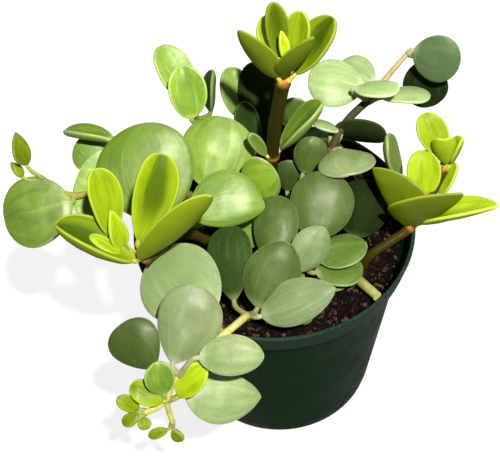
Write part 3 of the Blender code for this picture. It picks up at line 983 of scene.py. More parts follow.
# Each leaf's tone brightens or darkens its finish: partly the leaf's own tone, and partly
# painted light and shade, brighter where a leaf lies lit and darker where it lies in shade.
TALL = (
    Shoot(((0, 14, 65), (0, 15, 88), (1, 16, 105), (3, 15, 124), (6, 14, 144)),
          2.2, 2.5, RUSSET, Age.LIME, (
        Leaf(4, (4, 13, 147), (-8, 19, 164), 13, (0.5, 0.85, 0.2), 40, 20, base_taper=0.5,
             tip_taper=0.75, tone=0.68),
        Leaf(4, (6, 19, 148), (2, 32, 158), 13, (0.3, -0.7, 0.6), 40, 20),
        Leaf(4, (5, 19, 150), (4, 27, 168), 9, (0.1, -0.8, 0.5), 45, 10, tone=0.6, heart=0.6),
        Leaf(4, (10, 18, 150), (13, 25, 165), 11, (-0.5, -0.7, 0.4), 50, 10),
        Leaf(4, (7, 18, 150), (6, 18, 163), 4, (0.1, -0.7, 0.5), 60, 10, tip_taper=0.8,
             tone=2.2),
        Leaf(4, (5, 14, 147), (16, 10, 167), 12, (-0.4, 0.8, 0.3), 45, 24, base_taper=0.5,
             tip_taper=0.75, tone=0.7),
        Leaf(4, (10, 15, 146), (24, 24, 162), 15, (-0.6, -0.4, 0.7), 50, 16, tone=0.75,
             heart=0.9),
        Leaf(2, (4, 16, 108), (20, 22, 124), 15, (-0.5, 0.2, 0.7), 55, 10, age=Age.FRESH),
        Leaf(2, (-1, 14, 107), (-7, 17, 116), 5, (0.3, -0.6, 0.7), 40, 10, age=Age.FRESH,
             tone=0.7),
    )),
)

BACK = (
    Shoot(((-8, 28, 65), (-8, 29, 82), (-7, 30, 92)),
          1.8, 1.6, OLIVE, Age.DARK, (
        Leaf(2, (-2, 29, 95), (-2, 48, 121), 16, (0.0, -0.7, 0.7), tip_taper=0.4, tone=0.8),
        Leaf(2, (-10, 36, 105), (-12, 49, 118), 12, (0.3, -0.6, 0.7), 24, age=Age.FRESH),
        Leaf(1, (-11, 33, 84), (-20, 48, 89), 17, (0.0, 0.1, 1.0)),
        Leaf(2, (-5, 27, 97), (-8, 36, 113), 10, (0.1, -0.8, 0.5), 30),
    )),
)

LEFT_ROSETTE = (
    Shoot(((-23, 22, 65), (-25, 28, 90), (-25, 33, 110)),
          1.9, 1.7, OLIVE, Age.FRESH, (
        Leaf(2, (-27, 37, 113), (-37, 51, 129), 14, (0.2, -0.5, 0.8), 35, tone=1.35),
        Leaf(2, (-27, 29, 113), (-29, 40, 129), 15, (0.1, -0.6, 0.7), 40, tone=1.55, heart=0.4),
        Leaf(2, (-20, 33, 112), (-18, 42, 124), 12, (-0.9, -0.1, 0.4), 30, age=Age.DARK,
             tone=1.7),
        Leaf(2, (-25, 31, 113), (-26, 34, 120), 5, (0.0, -0.6, 0.7), 40),
    )),
)

LEFT_CROWN = (
    Shoot(((-14, -8, 65), (-21, -4, 79), (-30, -6, 91), (-38, -17, 100), (-46, -27, 104)),
          2.1, 2.5, BROWN, Age.LIME, (
        Leaf(4, (-47, -24, 110), (-36, -8, 136), 16, (0.1, -0.7, 0.7), 40, base_taper=0.8,
             tip_taper=0.42, tone=0.9, heart=0.9),
        Leaf(4, (-56, -21, 110), (-59, -9, 132), 13.5, (0.4, -0.6, 0.7), 45, base_taper=0.75,
             tip_taper=0.45),
        Leaf(4, (-49, -28, 105), (-74, -21, 119), 19, (0.45, -0.1, 0.9), 80, 20, roll=0.6,
             tone=0.85, heart=1.0),
        Leaf(4, (-47, -28, 106), (-21, -26, 134), 18, (-0.4, 0.9, 0.3), 40, 20),
        Leaf(4, (-53, -24, 107), (-55, -19, 122), 8, (0.3, -0.5, 0.8), 60, tip_taper=0.9),
        Leaf(4, (-53, -27, 107), (-63, -23, 114), 5, (0.2, -0.3, 0.9), 40),
    )),
)

ROUND_LEAVES = (
    Shoot(((-16, 4, 65), (-20, 3, 82), (-27, 0, 92), (-32, -3, 97)),
          2.0, 1.8, OLIVE, Age.FRESH, (
        Leaf(3, (-42, -6, 99), (-44, 22, 120), 35, FRONT),
        Leaf(3, (-30, -8, 103), (-3, -6, 103), 20, (0.0, -0.6, 0.8), tip_taper=0.6, skew=0.55,
             tone=1.15),
        Leaf(2, (-23, 9, 97), (-15, 29, 113), 27, FRONT, age=Age.FRESH, tone=1.1),
        Leaf(2, (-10, 6, 101), (2, 6, 107), 18, (0.1, -0.85, 0.5), tone=1.25),
        Leaf(1, (-16, -1, 87), (1, -5, 90), 17, (0.0, -0.3, 0.9)),
        Leaf(1, (-25, 3, 84), (-40, 2, 85), 14, (-0.2, 0.1, 0.9)),
    )),
)

FAR_LEFT = (
    Shoot(((-22, 12, 65), (-28, 14, 86), (-42, 12, 98), (-56, 9, 102), (-71, 6, 102),
           (-82, 12, 106)),
          1.9, 1.0, SPROUT, Age.FRESH, (
        Leaf(4, (-71, 4, 101), (-96, 2, 96), 26, (0.0, -0.5, 0.85), 12, age=Age.FRESH,
             skew=0.05, tone=0.75),
        Leaf(3, (-53, 9, 97), (-69, 14, 104), 28, (-0.1, -0.4, 0.85), 12, tone=1.4),
        Leaf(3, (-58, 19, 102), (-68, 27, 109), 17, (-0.2, -0.3, 0.9), age=Age.MATURE,
             tone=2.0),
        Leaf(3, (-55, 21, 113), (-73, 28, 112), 12, (0.0, 0.5, 0.85), 50),
        Leaf(5, (-86, 14, 111), (-89, 22, 120), 8, (0.5, -0.6, 0.6), 45, age=Age.LIME,
             tip_taper=0.95, skew=0.4, tone=0.38),
        Leaf(5, (-88, 12, 107), (-92, 16, 111), 4, UP, 20, age=Age.LIME, tip_taper=0.9,
             tone=0.5),
    )),
)

FRONT_TRAILING = (
    Shoot(((-11, -30, 65), (-12, -37, 81), (-14, -43, 87), (-20, -51, 90.5), (-28, -57, 88),
           (-36, -61, 83), (-41, -64, 73), (-40, -66, 60)),
          1.6, 0.9, STRAW, Age.MATURE, (
        Leaf(1, (-8, -38, 87), (4, -22, 102), 20, FRONT, base_taper=0.55, tip_taper=0.62,
             tone=0.8),
        Leaf(1, (-16, -35, 87), (-16, -13, 102), 16, (-0.2, -0.6, 0.75), age=Age.DARK,
             base_taper=0.85, tip_taper=0.45, tone=1.3),
        Leaf(1, (-7, -41, 86), (19, -38, 95), 16, (0.0, -0.5, 0.85), age=Age.SILVER,
             tip_taper=0.75, tone=0.72),
        Leaf(1, (1, -36, 82), (11, -41, 83), 9, (0.0, -0.2, 1.0)),
        Leaf(3, (-24, -44, 92), (-42, -20, 98), 29, (-0.1, -0.4, 0.9), age=Age.SILVER, tone=1.0,
             heart=0.5),
        Leaf(5, (-38, -59, 87), (-27, -40, 104), 22, (0.0, -0.7, 0.7), age=Age.SILVER,
             base_taper=0.8, tone=0.66),
        Leaf(5, (-44, -59, 85), (-55, -48, 96), 18, (-0.3, -0.5, 0.8), age=Age.MATURE,
             base_taper=0.8, tip_taper=0.45, tone=0.6, heart=0.3),
        Leaf(5, (-29, -60, 91), (-7, -61, 91), 14, (0.0, -0.6, 0.8), age=Age.SILVER,
             tip_taper=0.6, tone=0.95),
        Leaf(6, (-35, -62, 72), (-9, -60, 65), 18, (0.0, -0.6, 0.8), age=Age.SILVER,
             tip_taper=0.75, tone=0.95),
        Leaf(6, (-42, -64, 77), (-43, -59, 89), 11, (0.1, -0.7, 0.7), 30, age=Age.FRESH,
             tone=1.2),
        Leaf(6, (-37, -65, 76), (-27, -60, 87), 9.5, (-0.2, -0.7, 0.7), 30, age=Age.LIME),
        Leaf(6, (-42, -65, 74), (-53, -61, 79), 9, (0.2, -0.6, 0.75), 30, age=Age.LIME,
             tone=0.85, heart=0.5),
        Leaf(7, (-40, -67, 59), (-38, -69, 54), 5, (-0.3, -0.8, 0.3), 30, age=Age.LIME,
             tone=0.6),
        Leaf(7, (-42, -67, 59), (-49, -68, 57), 4, (0.0, -0.6, 0.75), 30, age=Age.LIME,
             tone=0.5),
    )),
    Shoot(((-41, -64, 73), (-45, -65, 70), (-50, -66, 69)),
          1.1, 1.0, STRAW, Age.LIME, (
        Leaf(2, (-51, -65, 70), (-58, -64, 76), 6, (0.3, -0.6, 0.7), 40, tone=0.55),
        Leaf(2, (-51, -66, 69), (-57, -68, 66), 5, (0.2, -0.3, 0.9), 40, tone=0.5),
        Leaf(2, (-50, -67, 68), (-49, -71, 66), 5, (0.0, 0.3, 0.9), 40, tone=0.6),
    )),
)

CENTRE = (
    Shoot(((7, -13, 65), (8, -17, 84)),
          1.8, 1.6, TAN, Age.MATURE, (
        Leaf(1, (-2, -18, 89), (2, 1, 100), 16, (-0.1, -0.6, 0.75), base_taper=0.5,
             tip_taper=0.42, tone=0.75),
        Leaf(1, (13, -12, 90), (21, 7, 104), 23, (0.05, -0.45, 0.9), tone=0.75),
        Leaf(1, (14, -19, 88), (32, -17, 91), 15, (0.1, 0.0, 1.0), tip_taper=0.6, tone=1.4),
        Leaf(1, (7, -24, 88), (17, -14, 99), 13.5, (0.3, -0.6, 0.75), age=Age.SILVER,
             tip_taper=0.6, tone=0.72),
        Leaf(1, (13, -23, 85), (30, -21, 84), 16, (0.0, 0.1, 1.0), tone=1.3),
        Leaf(1, (11, -26, 82), (25, -24, 80), 8, UP),
    )),
)

RIGHT_BACK = (
    Shoot(((20, 16, 65), (22, 19, 86), (23, 22, 99), (29, 29, 106), (38, 34, 112)),
          1.8, 1.4, DUSKY, Age.SILVER, (
        Leaf(2, (26, 19, 102), (28, 3, 106), 21, (0.0, 0.15, 1.0), age=Age.SILVER, tone=0.8),
        Leaf(2, (24, 28, 102), (43, 24, 101), 17, (0.0, 0.93, 0.3), 30, age=Age.DARK,
             base_taper=0.42, tip_taper=0.42, tone=0.4),
        Leaf(2, (26, 26, 104), (17, 30, 106), 9, (0.0, 0.5, 0.8)),
        Leaf(4, (36, 38, 114), (16, 41, 117), 18.5, (0.0, -0.4, 0.9), tone=1.25),
        Leaf(4, (40, 40, 113), (27, 49, 114), 16.5, (0.0, -0.4, 0.9), tone=0.95),
        Leaf(4, (32, 33, 118), (48, 30, 120), 15, (0.0, 0.4, 0.9), tone=1.45),
        Leaf(4, (42, 34, 112), (60, 36, 110), 15, (0.0, 0.4, 0.9), tone=1.2),
    )),
    Shoot(((38, 34, 112), (46, 42, 116), (54, 49, 120)),
          1.3, 0.8, HONEY, Age.SILVER, (
        Leaf(2, (55, 48, 121), (71, 41, 118), 18, (-0.5, -0.7, 0.5), age=Age.SLATE),
        Leaf(2, (58, 49, 114), (61, 42, 97), 17, (-0.2, -0.8, 0.3), age=Age.DARK, tone=0.6),
    )),
)

RIGHT_CROWN = (
    Shoot(((30, -15, 65), (32, -15, 80), (40, -12, 85), (48, -8, 88), (56, -1, 96),
           (62, 6, 103)),
          1.9, 1.5, BROWN, Age.LIME, (
        Leaf(3, (48, -8, 90), (36, 4, 108), 15.5, (0.1, 0.95, 0.3), 20, 20, base_taper=0.35,
             tip_taper=0.7, skew=0.6, tone=0.62),
        Leaf(3, (47, -7, 89), (66, -9, 106), 19, (-0.2, 0.95, 0.25), 20, 20, base_taper=0.28,
             tip_taper=0.7, skew=-0.75, tone=0.62),
        Leaf(3, (52, -7, 89), (79, -9, 98), 18, (-0.1, 0.5, 0.85), 30, tip_taper=0.75,
             tone=1.5),
        Leaf(3, (54, -1, 96), (54, 10, 109), 13, (0.0, -0.7, 0.7), 35),
        Leaf(3, (47, 10, 94), (42, 15, 112), 14, (0.8, -0.2, 0.4), 30, 40, age=Age.FRESH,
             tone=0.8),
        Leaf(5, (61, 9, 106), (55, 19, 118), 12, (0.2, -0.6, 0.7), 35),
        Leaf(5, (62, 6, 105), (61, 8, 116), 11, (0.0, 0.6, 0.7), 70, 30, base_taper=0.8,
             tip_taper=0.35, tone=1.35),
        Leaf(5, (64, 7, 104), (68, 10, 114), 8, (-0.9, 0.0, 0.3), 50),
        Leaf(4, (60, 0, 95), (66, 9, 102), 8, (-0.5, -0.2, 0.8), 40),
    )),
)

BEHIND_CENTRE = (
    Shoot(((12, 4, 65), (12, 5, 84)),
          1.6, 1.4, OLIVE, Age.MATURE, (
        Leaf(1, (6, 17, 84), (8, 22, 95), 12, (0.0, -0.6, 0.8), tone=0.5),
        Leaf(1, (12, 17, 93), (18, 24, 104), 12, (0.1, -0.6, 0.8), tone=0.8),
        Leaf(1, (16, 4, 86), (31, 12, 85), 16, (0.0, -0.1, 1.0)),
        Leaf(1, (8, 4, 85), (-8, 5, 86), 13, (0.0, -0.2, 0.9)),
    )),
)

BACK_RIGHT = (
    Shoot(((10, 34, 65), (10, 35, 84), (9, 33, 98)),
          1.5, 1.3, OLIVE, Age.MATURE, (
        Leaf(2, (10, 31, 103), (11, 33, 116), 11, (0.0, -0.6, 0.75)),
        Leaf(2, (14, 34, 86), (28, 40, 82), 15, (0.1, 0.3, 0.9)),
        Leaf(1, (10, 42, 91), (6, 63, 81), 20, (0.0, 0.4, 0.9), 16, -30),
        Leaf(1, (14, 32, 84), (30, 30, 84), 16, (0.0, 0.0, 1.0)),
    )),
)

BACK_LEFT = (
    Shoot(((-30, 22, 65), (-34, 27, 86), (-42, 34, 91), (-49, 41, 84), (-52, 45, 75)),
          1.6, 1.2, OLIVE, Age.MATURE, (
        Leaf(2, (-40, 41, 87), (-36, 56, 73), 18, (0.0, 0.7, 0.7), 16, -20),
        Leaf(3, (-52, 37, 88), (-66, 40, 88), 18, (-0.2, 0.1, 0.9)),
        Leaf(4, (-54, 48, 72), (-58, 60, 56), 20, (-0.4, 0.7, 0.6)),
        Leaf(4, (-49, 49, 71), (-40, 62, 58), 18, (0.2, 0.8, 0.6)),
    )),
)

RIGHT_LOW = (
    Shoot(((25, -3, 65), (26, -3, 80)),
          1.5, 1.4, OLIVE, Age.DARK, (
        Leaf(1, (29, -8, 84), (35, 9, 96), 20, (0.0, -0.6, 0.8), tone=0.4),
    )),
)

CUT_STUB = (
    Shoot(((27, -18, 71), (28, -21, 77), (30, -26, 80), (34, -33, 82)),
          2.0, 1.7, CUT, Age.LIME, ()),
)

PLANT = {
    "stem_tall": (TALL, "young_leaves"),
    "stem_back": (BACK, "dark_leaves"),
    "stem_left_rosette": (LEFT_ROSETTE, "young_leaves"),
    "stem_left_crown": (LEFT_CROWN, "young_leaves"),
    "stem_round_leaves": (ROUND_LEAVES, "olive_leaves"),
    "stem_far_left": (FAR_LEFT, "olive_leaves"),
    "stem_front_trailing": (FRONT_TRAILING, "silver_leaves"),
    "stem_centre": (CENTRE, "dark_leaves"),
    "stem_right_back": (RIGHT_BACK, "silver_leaves"),
    "stem_right_crown": (RIGHT_CROWN, "young_leaves"),
    "stem_behind_centre": (BEHIND_CENTRE, "olive_leaves"),
    "stem_back_right": (BACK_RIGHT, "olive_leaves"),
    "stem_back_left": (BACK_LEFT, "olive_leaves"),
    "stem_right_low": (RIGHT_LOW, "dark_leaves"),
    "cut_stub": (CUT_STUB, "stub"),
}


def smooth_route(route: tuple, step: float) -> tuple[list[Vector], list[int]]:
    """Runs a Catmull-Rom curve through a route.

    Args:
        route: The route's own points, in millimetres.
        step: The spacing of the new points.

    Returns:
        The new points, and the index of each of the route's own points among them.
    """
    knots = [Vector(point) for point in route]
    ends = [knots[0] * 2 - knots[1], *knots, knots[-1] * 2 - knots[-2]]
    points: list[Vector] = []
    marks: list[int] = []
    for index in range(len(knots) - 1):
        before, start, stop, after = ends[index:index + 4]
        count = max(2, round((stop - start).length / step))
        marks.append(len(points))
        for part in range(count):
            t = part / count
            points.append(0.5 * ((2 * start) + (stop - before) * t
                                 + (2 * before - 5 * start + 4 * stop - after) * t * t
                                 + (3 * start - before - 3 * stop + after) * t ** 3))
    marks.append(len(points))
    points.append(knots[-1])
    return points, marks


@dataclass
class Blade:
    """Works out where one leaf's blade lies and how thick it is, in millimetres.

    A blade is thinner than the full thickness when it is narrower than full_width, down
    to smallest_share of it.
    """

    leaf: Leaf
    middle: float = 3.0
    rim: float = 0.9
    smallest_share: float = 0.6
    full_width: float = 35.0

    def __post_init__(self) -> None:
        """Sets up the blade's own axes."""
        self.start = Vector(self.leaf.base)
        self.along = Vector(self.leaf.tip) - self.start
        self.length = self.along.length
        self.along.normalize()
        inner = Vector(self.leaf.face)
        self.inner = (inner - self.along * inner.dot(self.along)).normalized()
        self.side = self.inner.cross(self.along)
        self.thin = min(1.0, self.smallest_share + self.leaf.width / self.full_width)

    def midrib(self, share: float) -> Vector:
        """Follows the blade's middle line.

        Args:
            share: The share of the blade's length, from its base.

        Returns:
            The line's point there.
        """
        curl = radians(self.leaf.curl)
        lean = curl * (share - 0.5)
        chord = 2 * sin(curl / 2)
        forward = (sin(lean) + sin(curl / 2)) / chord
        rise = (cos(curl / 2) - cos(lean)) / chord
        return self.start + (self.along * forward + self.inner * rise) * self.length

    def spread(self) -> float:
        """Scales the outline so that it has its stated width at its widest.

        Returns:
            The factor.
        """
        low, high = self.leaf.base_taper, self.leaf.tip_taper
        widest = low / (low + high)
        return self.leaf.width / 2 / (widest ** low * (1 - widest) ** high)


@dataclass
class LeafyStemTree:
    """The geometry node tree that grows stems, stalks and blades from a plan.

    The groove runs along a blade's middle, the ripple along its margin, and the swell is
    the unevenness of its flesh. Sizes are in millimetres, and the rest are shares, waves
    in radians and noise scales.
    """

    materials: list
    rows: int = 32
    around: int = 29
    sides: int = 14
    twist_centre: float = 0.3
    roll_power: float = 5.0
    ripple_along: float = 9.0
    ripple_across: float = 1.7
    ripple_power: float = 3.0
    groove_half_width: float = 0.16
    groove_depth: float = 0.35
    swell: float = 0.9
    swell_scale: float = 130.0
    merge_distance: float = 0.004

    def __post_init__(self) -> None:
        """Builds the tree."""
        self.sheet = GeometrySheet("leafy stem")
        plan = self.sheet.entry_socket("Plan", "Geometry")
        rows = self.sheet.entry_socket("Rows", "Int", self.rows)
        around = self.sheet.entry_socket("Around", "Int", self.around)
        sides = self.sheet.entry_socket("Sides", "Int", self.sides)
        joined = self.sheet.join(self._stems(plan, sides), self._blades(plan, rows, around))
        self.sheet.finish(self.sheet.work("SetShadeSmooth", joined), self.materials)

    def _stems(self, plan: Field, sides: Field) -> Field:
        """Sweeps a circle along every line of the plan.

        Args:
            plan: The plan's geometry.
            sides: How many sides a stem has.

        Returns:
            The stems and stalks.
        """
        sheet = self.sheet
        curve = sheet.call("GeometryNodeMeshToCurve", 0, {"Mesh": plan})
        ring = sheet.call(
            "GeometryNodeCurvePrimitiveCircle", 0, {"Resolution": sides, "Radius": 1.0}
        )
        return sheet.call(
            "GeometryNodeCurveToMesh", 0,
            {"Curve": curve, "Profile Curve": ring, "Scale": sheet.read("girth"),
             "Fill Caps": True},
        )

    def _blades(self, plan: Field, rows: Field, around: Field) -> Field:
        """Puts a chart on every leaf point and bends it into that leaf's blade.

        Args:
            plan: The plan's geometry.
            rows: How many rows a blade has from base to tip.
            around: How many points go round a blade.

        Returns:
            The blades.
        """
        sheet = self.sheet
        chart = sheet.unit_grid(rows, around)
        chart = sheet.store(chart, "chart", sheet.position(), "FLOAT_VECTOR")
        leafy = sheet.compare("FLOAT", "GREATER_THAN", {0: sheet.read("leafy"), 1: 0.5})
        blades = sheet.plant(plan, Selection=leafy, Instance=chart)
        blades = sheet.work("RealizeInstances", blades)

        spot = sheet.read("chart", "FLOAT_VECTOR")
        share = 0.5 - ((sheet.part(spot, "X") + 0.5) * pi).cosine() * 0.5
        turn = (sheet.part(spot, "Y") + 0.5) * (2 * pi)
        across = turn.cosine() * -1.0
        out = across.size()
        upper = turn.sine().sign()
        length, fold, curl = sheet.read("length"), sheet.read("fold"), sheet.read("curl")
        start, along, inner, side = (
            sheet.read(name, "FLOAT_VECTOR") for name in ("start", "along", "inner", "side")
        )
        half = (sheet.read("spread") * share ** sheet.read("base_taper")
                * (1.0 - share) ** sheet.read("tip_taper")
                * (sheet.read("skew") * across + 1.0))

        lean = curl * (share - 0.5)
        crown = (curl * 0.5).sine()
        forward = (lean.sine() + crown) / (crown * 2.0)
        rise = ((curl * 0.5).cosine() - lean.cosine()) / (crown * 2.0)
        bow = (share - share * share) * 4.0
        upright = inner * lean.cosine() - along * lean.sine()
        twist = sheet.read("twist") * (share - self.twist_centre)
        turned_side = side * twist.cosine() + upright * twist.sine()
        upright = upright * twist.cosine() - side * twist.sine()
        middle = (start + (along * forward + inner * rise) * length
                  + side * (sheet.read("sweep") * bow * length))

        bend = fold * across
        wall = upright * bend.cosine() - turned_side * bend.sine()
        outwards = (turned_side * (half * bend.sine() / fold)
                    + upright * (half * (1.0 - bend.cosine()) / fold))

        rim = sheet.read("rim")
        margin = (half * (1.0 - out)).least((1.0 - share) * length)
        near = (margin / rim).least(1.0)
        edge = (1.0 - (1.0 - near) * (1.0 - near)).most(0.0).root()
        deep = (margin / sheet.read("cushion")).least(1.0)
        plump = 1.0 - (1.0 - deep) * (1.0 - deep)
        lift = upper * (rim * edge + (sheet.read("thick") - rim) * plump)
        lip = sheet.read("roll") * out ** self.roll_power * bow
        wave = share * self.ripple_along + across * self.ripple_across + sheet.read("phase")
        ripple = wave.sine() * sheet.read("wave") * out ** self.ripple_power
        groove = (1.0 - (out / self.groove_half_width).least(1.0)) * upper.most(0.0) * bow
        flesh = sheet.noise(middle + outwards, self.swell_scale, detail=1.0)
        swell = (flesh - 0.5) * (plump * self.swell * MM)
        placed = middle + outwards + wall * (
            lift + lip + ripple + swell - groove * rim * self.groove_depth)

        blades = sheet.work("SetPosition", blades, Position=placed)
        blades = sheet.store(blades, "margin", margin * (1.0 / MM))
        blades = sheet.store(blades, "upper", upper * near)
        blades = sheet.store(
            blades, "blade", sheet.combine(across * 0.5 + 0.5, share, 0.0), "FLOAT2", "CORNER"
        )
        return sheet.work("MergeByDistance", blades, Distance=self.merge_distance * MM)


@dataclass
class LeafyStem:
    """One leafy stem of the plant: its plan, and the mesh that grows from it.

    Sizes are in millimetres, also the reaches over which a joint's swelling, a collar or
    a flare fades. The spreads bound what is drawn at random for each leaf.
    """

    name: str
    shoots: tuple
    slot: str
    seed: int
    step: float = 1.3
    node_swelling: float = 0.2
    node_reach: float = 1.9
    collar_reach: float = 1.25
    no_joint: float = 99.0
    tip_share: float = 0.35
    tip_reach: float = 1.8
    root_share: float = 0.4
    root_sunk: float = 1.4
    stalk_step: float = 0.9
    stalk_radius: float = 0.9
    stalk_flare: float = 0.35
    flare_reach: float = 1.6
    stalk_collar: float = 0.8
    stalk_collar_reach: float = 1.9
    stalk_pallor: float = 0.45
    midrib_steps: int = 7
    midrib_share: float = 0.2
    midrib_thinning: float = 0.75
    cushion_share: float = 0.42
    sweep_spread: float = 0.035
    twist_spread: float = 0.16
    wave_heights: Span = (0.1, 0.35)
    wave_width: float = 30.0
    phases: Span = (0, 6.28)
    roll_width: float = 20.0

    def __post_init__(self) -> None:
        """Starts an empty plan."""
        self.random = Random(self.seed)
        self.points: list[Vector] = []
        self.edges: list[tuple[int, int]] = []
        self.values: dict[str, list] = {name: [] for name in PLAN_VALUES}

    def _add_point(self, point: Vector, **values: object) -> int:
        """Adds a point to the plan.

        Args:
            point: Where it is, in millimetres.
            values: Its attributes; the others keep their defaults.

        Returns:
            The point's index.
        """
        self.points.append(point * MM)
        for name, default in PLAN_VALUES.items():
            self.values[name].append(values.get(name, default))
        return len(self.points) - 1

    def _add_line(self, points: list[Vector], girths: list[float], skins: list[Vector],
                  collars: list[float]) -> None:
        """Adds a line that becomes a stem or a stalk.

        Args:
            points: The line's points.
            girths: The radius at each point.
            skins: The colour at each point.
            collars: How much each point belongs to a joint's collar.
        """
        before = None
        for point, girth, skin, collar in zip(points, girths, skins, collars):
            index = self._add_point(
                point, girth=girth * MM, skin=(*skin, 1.0), collar=collar, finish=STEM_SLOT
            )
            if before is not None:
                self.edges.append((before, index))
            before = index

    def _axis(self, shoot: Shoot) -> tuple[list[Vector], list[int], list[float]]:
        """Adds one shoot's stem to the plan.

        Args:
            shoot: The shoot.

        Returns:
            The stem's points, the indices of its joints, and its radii.
        """
        points, marks = smooth_route(shoot.route, self.step)
        reach = [0.0]
        for before, after in zip(points, points[1:]):
            reach.append(reach[-1] + (after - before).length)
        joints = sorted({marks[leaf.node] for leaf in shoot.leaves})
        foot, top = Vector(shoot.bark.foot), Vector(shoot.bark.top)
        radii, girths, skins, collars = [], [], [], []
        for run in reach:
            share = run / reach[-1]
            radius = shoot.radius + (shoot.tip_radius - shoot.radius) * share
            near = min((abs(run - reach[joint]) for joint in joints), default=self.no_joint)
            swell = self.node_swelling * exp(-(near / self.node_reach) ** 2)
            tip = min(1.0, self.tip_share + (reach[-1] - run) / self.tip_reach)
            radii.append(radius)
            girths.append(radius * (1 + swell) * (tip if shoot.leaves else 1.0))
            skins.append(foot.lerp(top, share))
            collars.append(shoot.bark.collar * exp(-(near / self.collar_reach) ** 2))
        self._add_line(points, girths, skins, collars)
        return points, marks, radii

    def _stalk(self, shoot: Shoot, blade: Blade, root: Vector) -> None:
        """Adds one leaf's stalk, which runs on into the blade as its midrib.

        Args:
            shoot: The shoot.
            blade: The leaf's blade.
            root: Where the stalk leaves the stem's middle.
        """
        run = blade.start - root
        pull = blade.along * run.length
        count = max(5, round(run.length / self.stalk_step))
        points = []
        for step in range(count):
            t = step / count
            rise = t * t * (3 - 2 * t)
            points.append(root + run * (rise + t * (1 - t) ** 2) - pull * (t * t * (1 - t)))
        inside = self.midrib_steps
        points += [blade.midrib(self.midrib_share * step / inside)
                   for step in range(inside + 1)]
        radius = self.stalk_radius * blade.thin
        near = Vector(shoot.bark.stalk)
        pale = Vector(LEAF_FINISHES[blade.leaf.age or shoot.age].pale)
        far = near.lerp(pale, self.stalk_pallor)
        collar = shoot.bark.collar * self.stalk_collar
        girths, skins, collars = [], [], []
        for index in range(len(points)):
            share = min(1.0, index / count)
            deep = max(0.0, (index - count) / inside)
            away = share * run.length
            flare = 1 + self.stalk_flare * exp(-(away / self.flare_reach) ** 2)
            girths.append(radius * flare * (1 - self.midrib_thinning * deep))
            skins.append(near.lerp(far, share))
            collars.append(collar * exp(-(away / self.stalk_collar_reach) ** 2))
        self._add_line(points, girths, skins, collars)

    def _blade(self, shoot: Shoot, blade: Blade) -> None:
        """Adds the point that one blade grows on.

        Args:
            shoot: The shoot.
            blade: The leaf's blade.
        """
        leaf = blade.leaf
        vary = self.random.uniform
        self._add_point(
            Vector(), leafy=1.0, finish=(leaf.age or shoot.age).value,
            start=blade.start * MM, along=blade.along, inner=blade.inner, side=blade.side,
            length=blade.length * MM, spread=blade.spread() * MM,
            fold=radians(leaf.fold), curl=radians(leaf.curl),
            thick=blade.middle * blade.thin * MM / 2, rim=blade.rim * blade.thin * MM / 2,
            cushion=leaf.width * self.cushion_share * MM,
            base_taper=leaf.base_taper, tip_taper=leaf.tip_taper, skew=leaf.skew,
            sweep=vary(-self.sweep_spread, self.sweep_spread),
            twist=vary(-self.twist_spread, self.twist_spread),
            wave=vary(*self.wave_heights) * leaf.width / self.wave_width * MM,
            phase=vary(*self.phases), roll=leaf.roll * leaf.width / self.roll_width * MM,
            shade=vary(0, 1), tone=(leaf.tone, leaf.tone, leaf.tone, 1.0), heart=leaf.heart,
        )

    def _root(self, points: list[Vector], radii: list[float], mark: int,
              leaf: Leaf) -> Vector:
        """Finds where a leaf's stalk starts inside the stem.

        Args:
            points: The stem's points.
            radii: The stem's radii.
            mark: The joint's index.
            leaf: The leaf.

        Returns:
            The stalk's first point.
        """
        last = len(points) - 1
        run = (points[min(mark + 1, last)] - points[max(mark - 1, 0)]).normalized()
        away = Vector(leaf.base) - points[mark]
        away = (away - run * away.dot(run)).normalized()
        sunk = self.root_sunk if mark == last else 0.0
        return points[mark] + away * (radii[mark] * self.root_share) - run * sunk

    def _plan(self) -> bpy.types.Object:
        """Makes the plan's points and lines an object that carries their values.

        Returns:
            The object.
        """
        mesh = bpy.data.meshes.new(self.name + "_plan")
        mesh.from_pydata(self.points, self.edges, [])
        for name, default in PLAN_VALUES.items():
            numbers = len(default) if isinstance(default, tuple) else type(default)
            kind, field = PLAN_KINDS[numbers]
            made = mesh.attributes.new(name, kind, "POINT")
            for item, value in zip(made.data, self.values[name]):
                setattr(item, field, value)
        return link_object(self.name + "_plan", mesh)

    def build(self, tree: LeafyStemTree) -> bpy.types.Object:
        """Builds the stem's piece.

        Args:
            tree: The tree that grows it.

        Returns:
            The piece.
        """
        for shoot in self.shoots:
            points, marks, radii = self._axis(shoot)
            for leaf in shoot.leaves:
                blade = Blade(leaf)
                self._stalk(shoot, blade, self._root(points, radii, marks[leaf.node], leaf))
                self._blade(shoot, blade)
        piece = tree.sheet.run(
            self._plan(), self.name + "_foliage",
            rows=tree.rows, around=tree.around, sides=tree.sides,
        )
        for attribute in list(piece.data.attributes):
            spent = attribute.name in PLAN_VALUES and attribute.name not in KEPT_VALUES
            if spent or attribute.name == "chart":
                piece.data.attributes.remove(attribute)
        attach(piece, "root")
        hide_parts(self.name)
        return piece


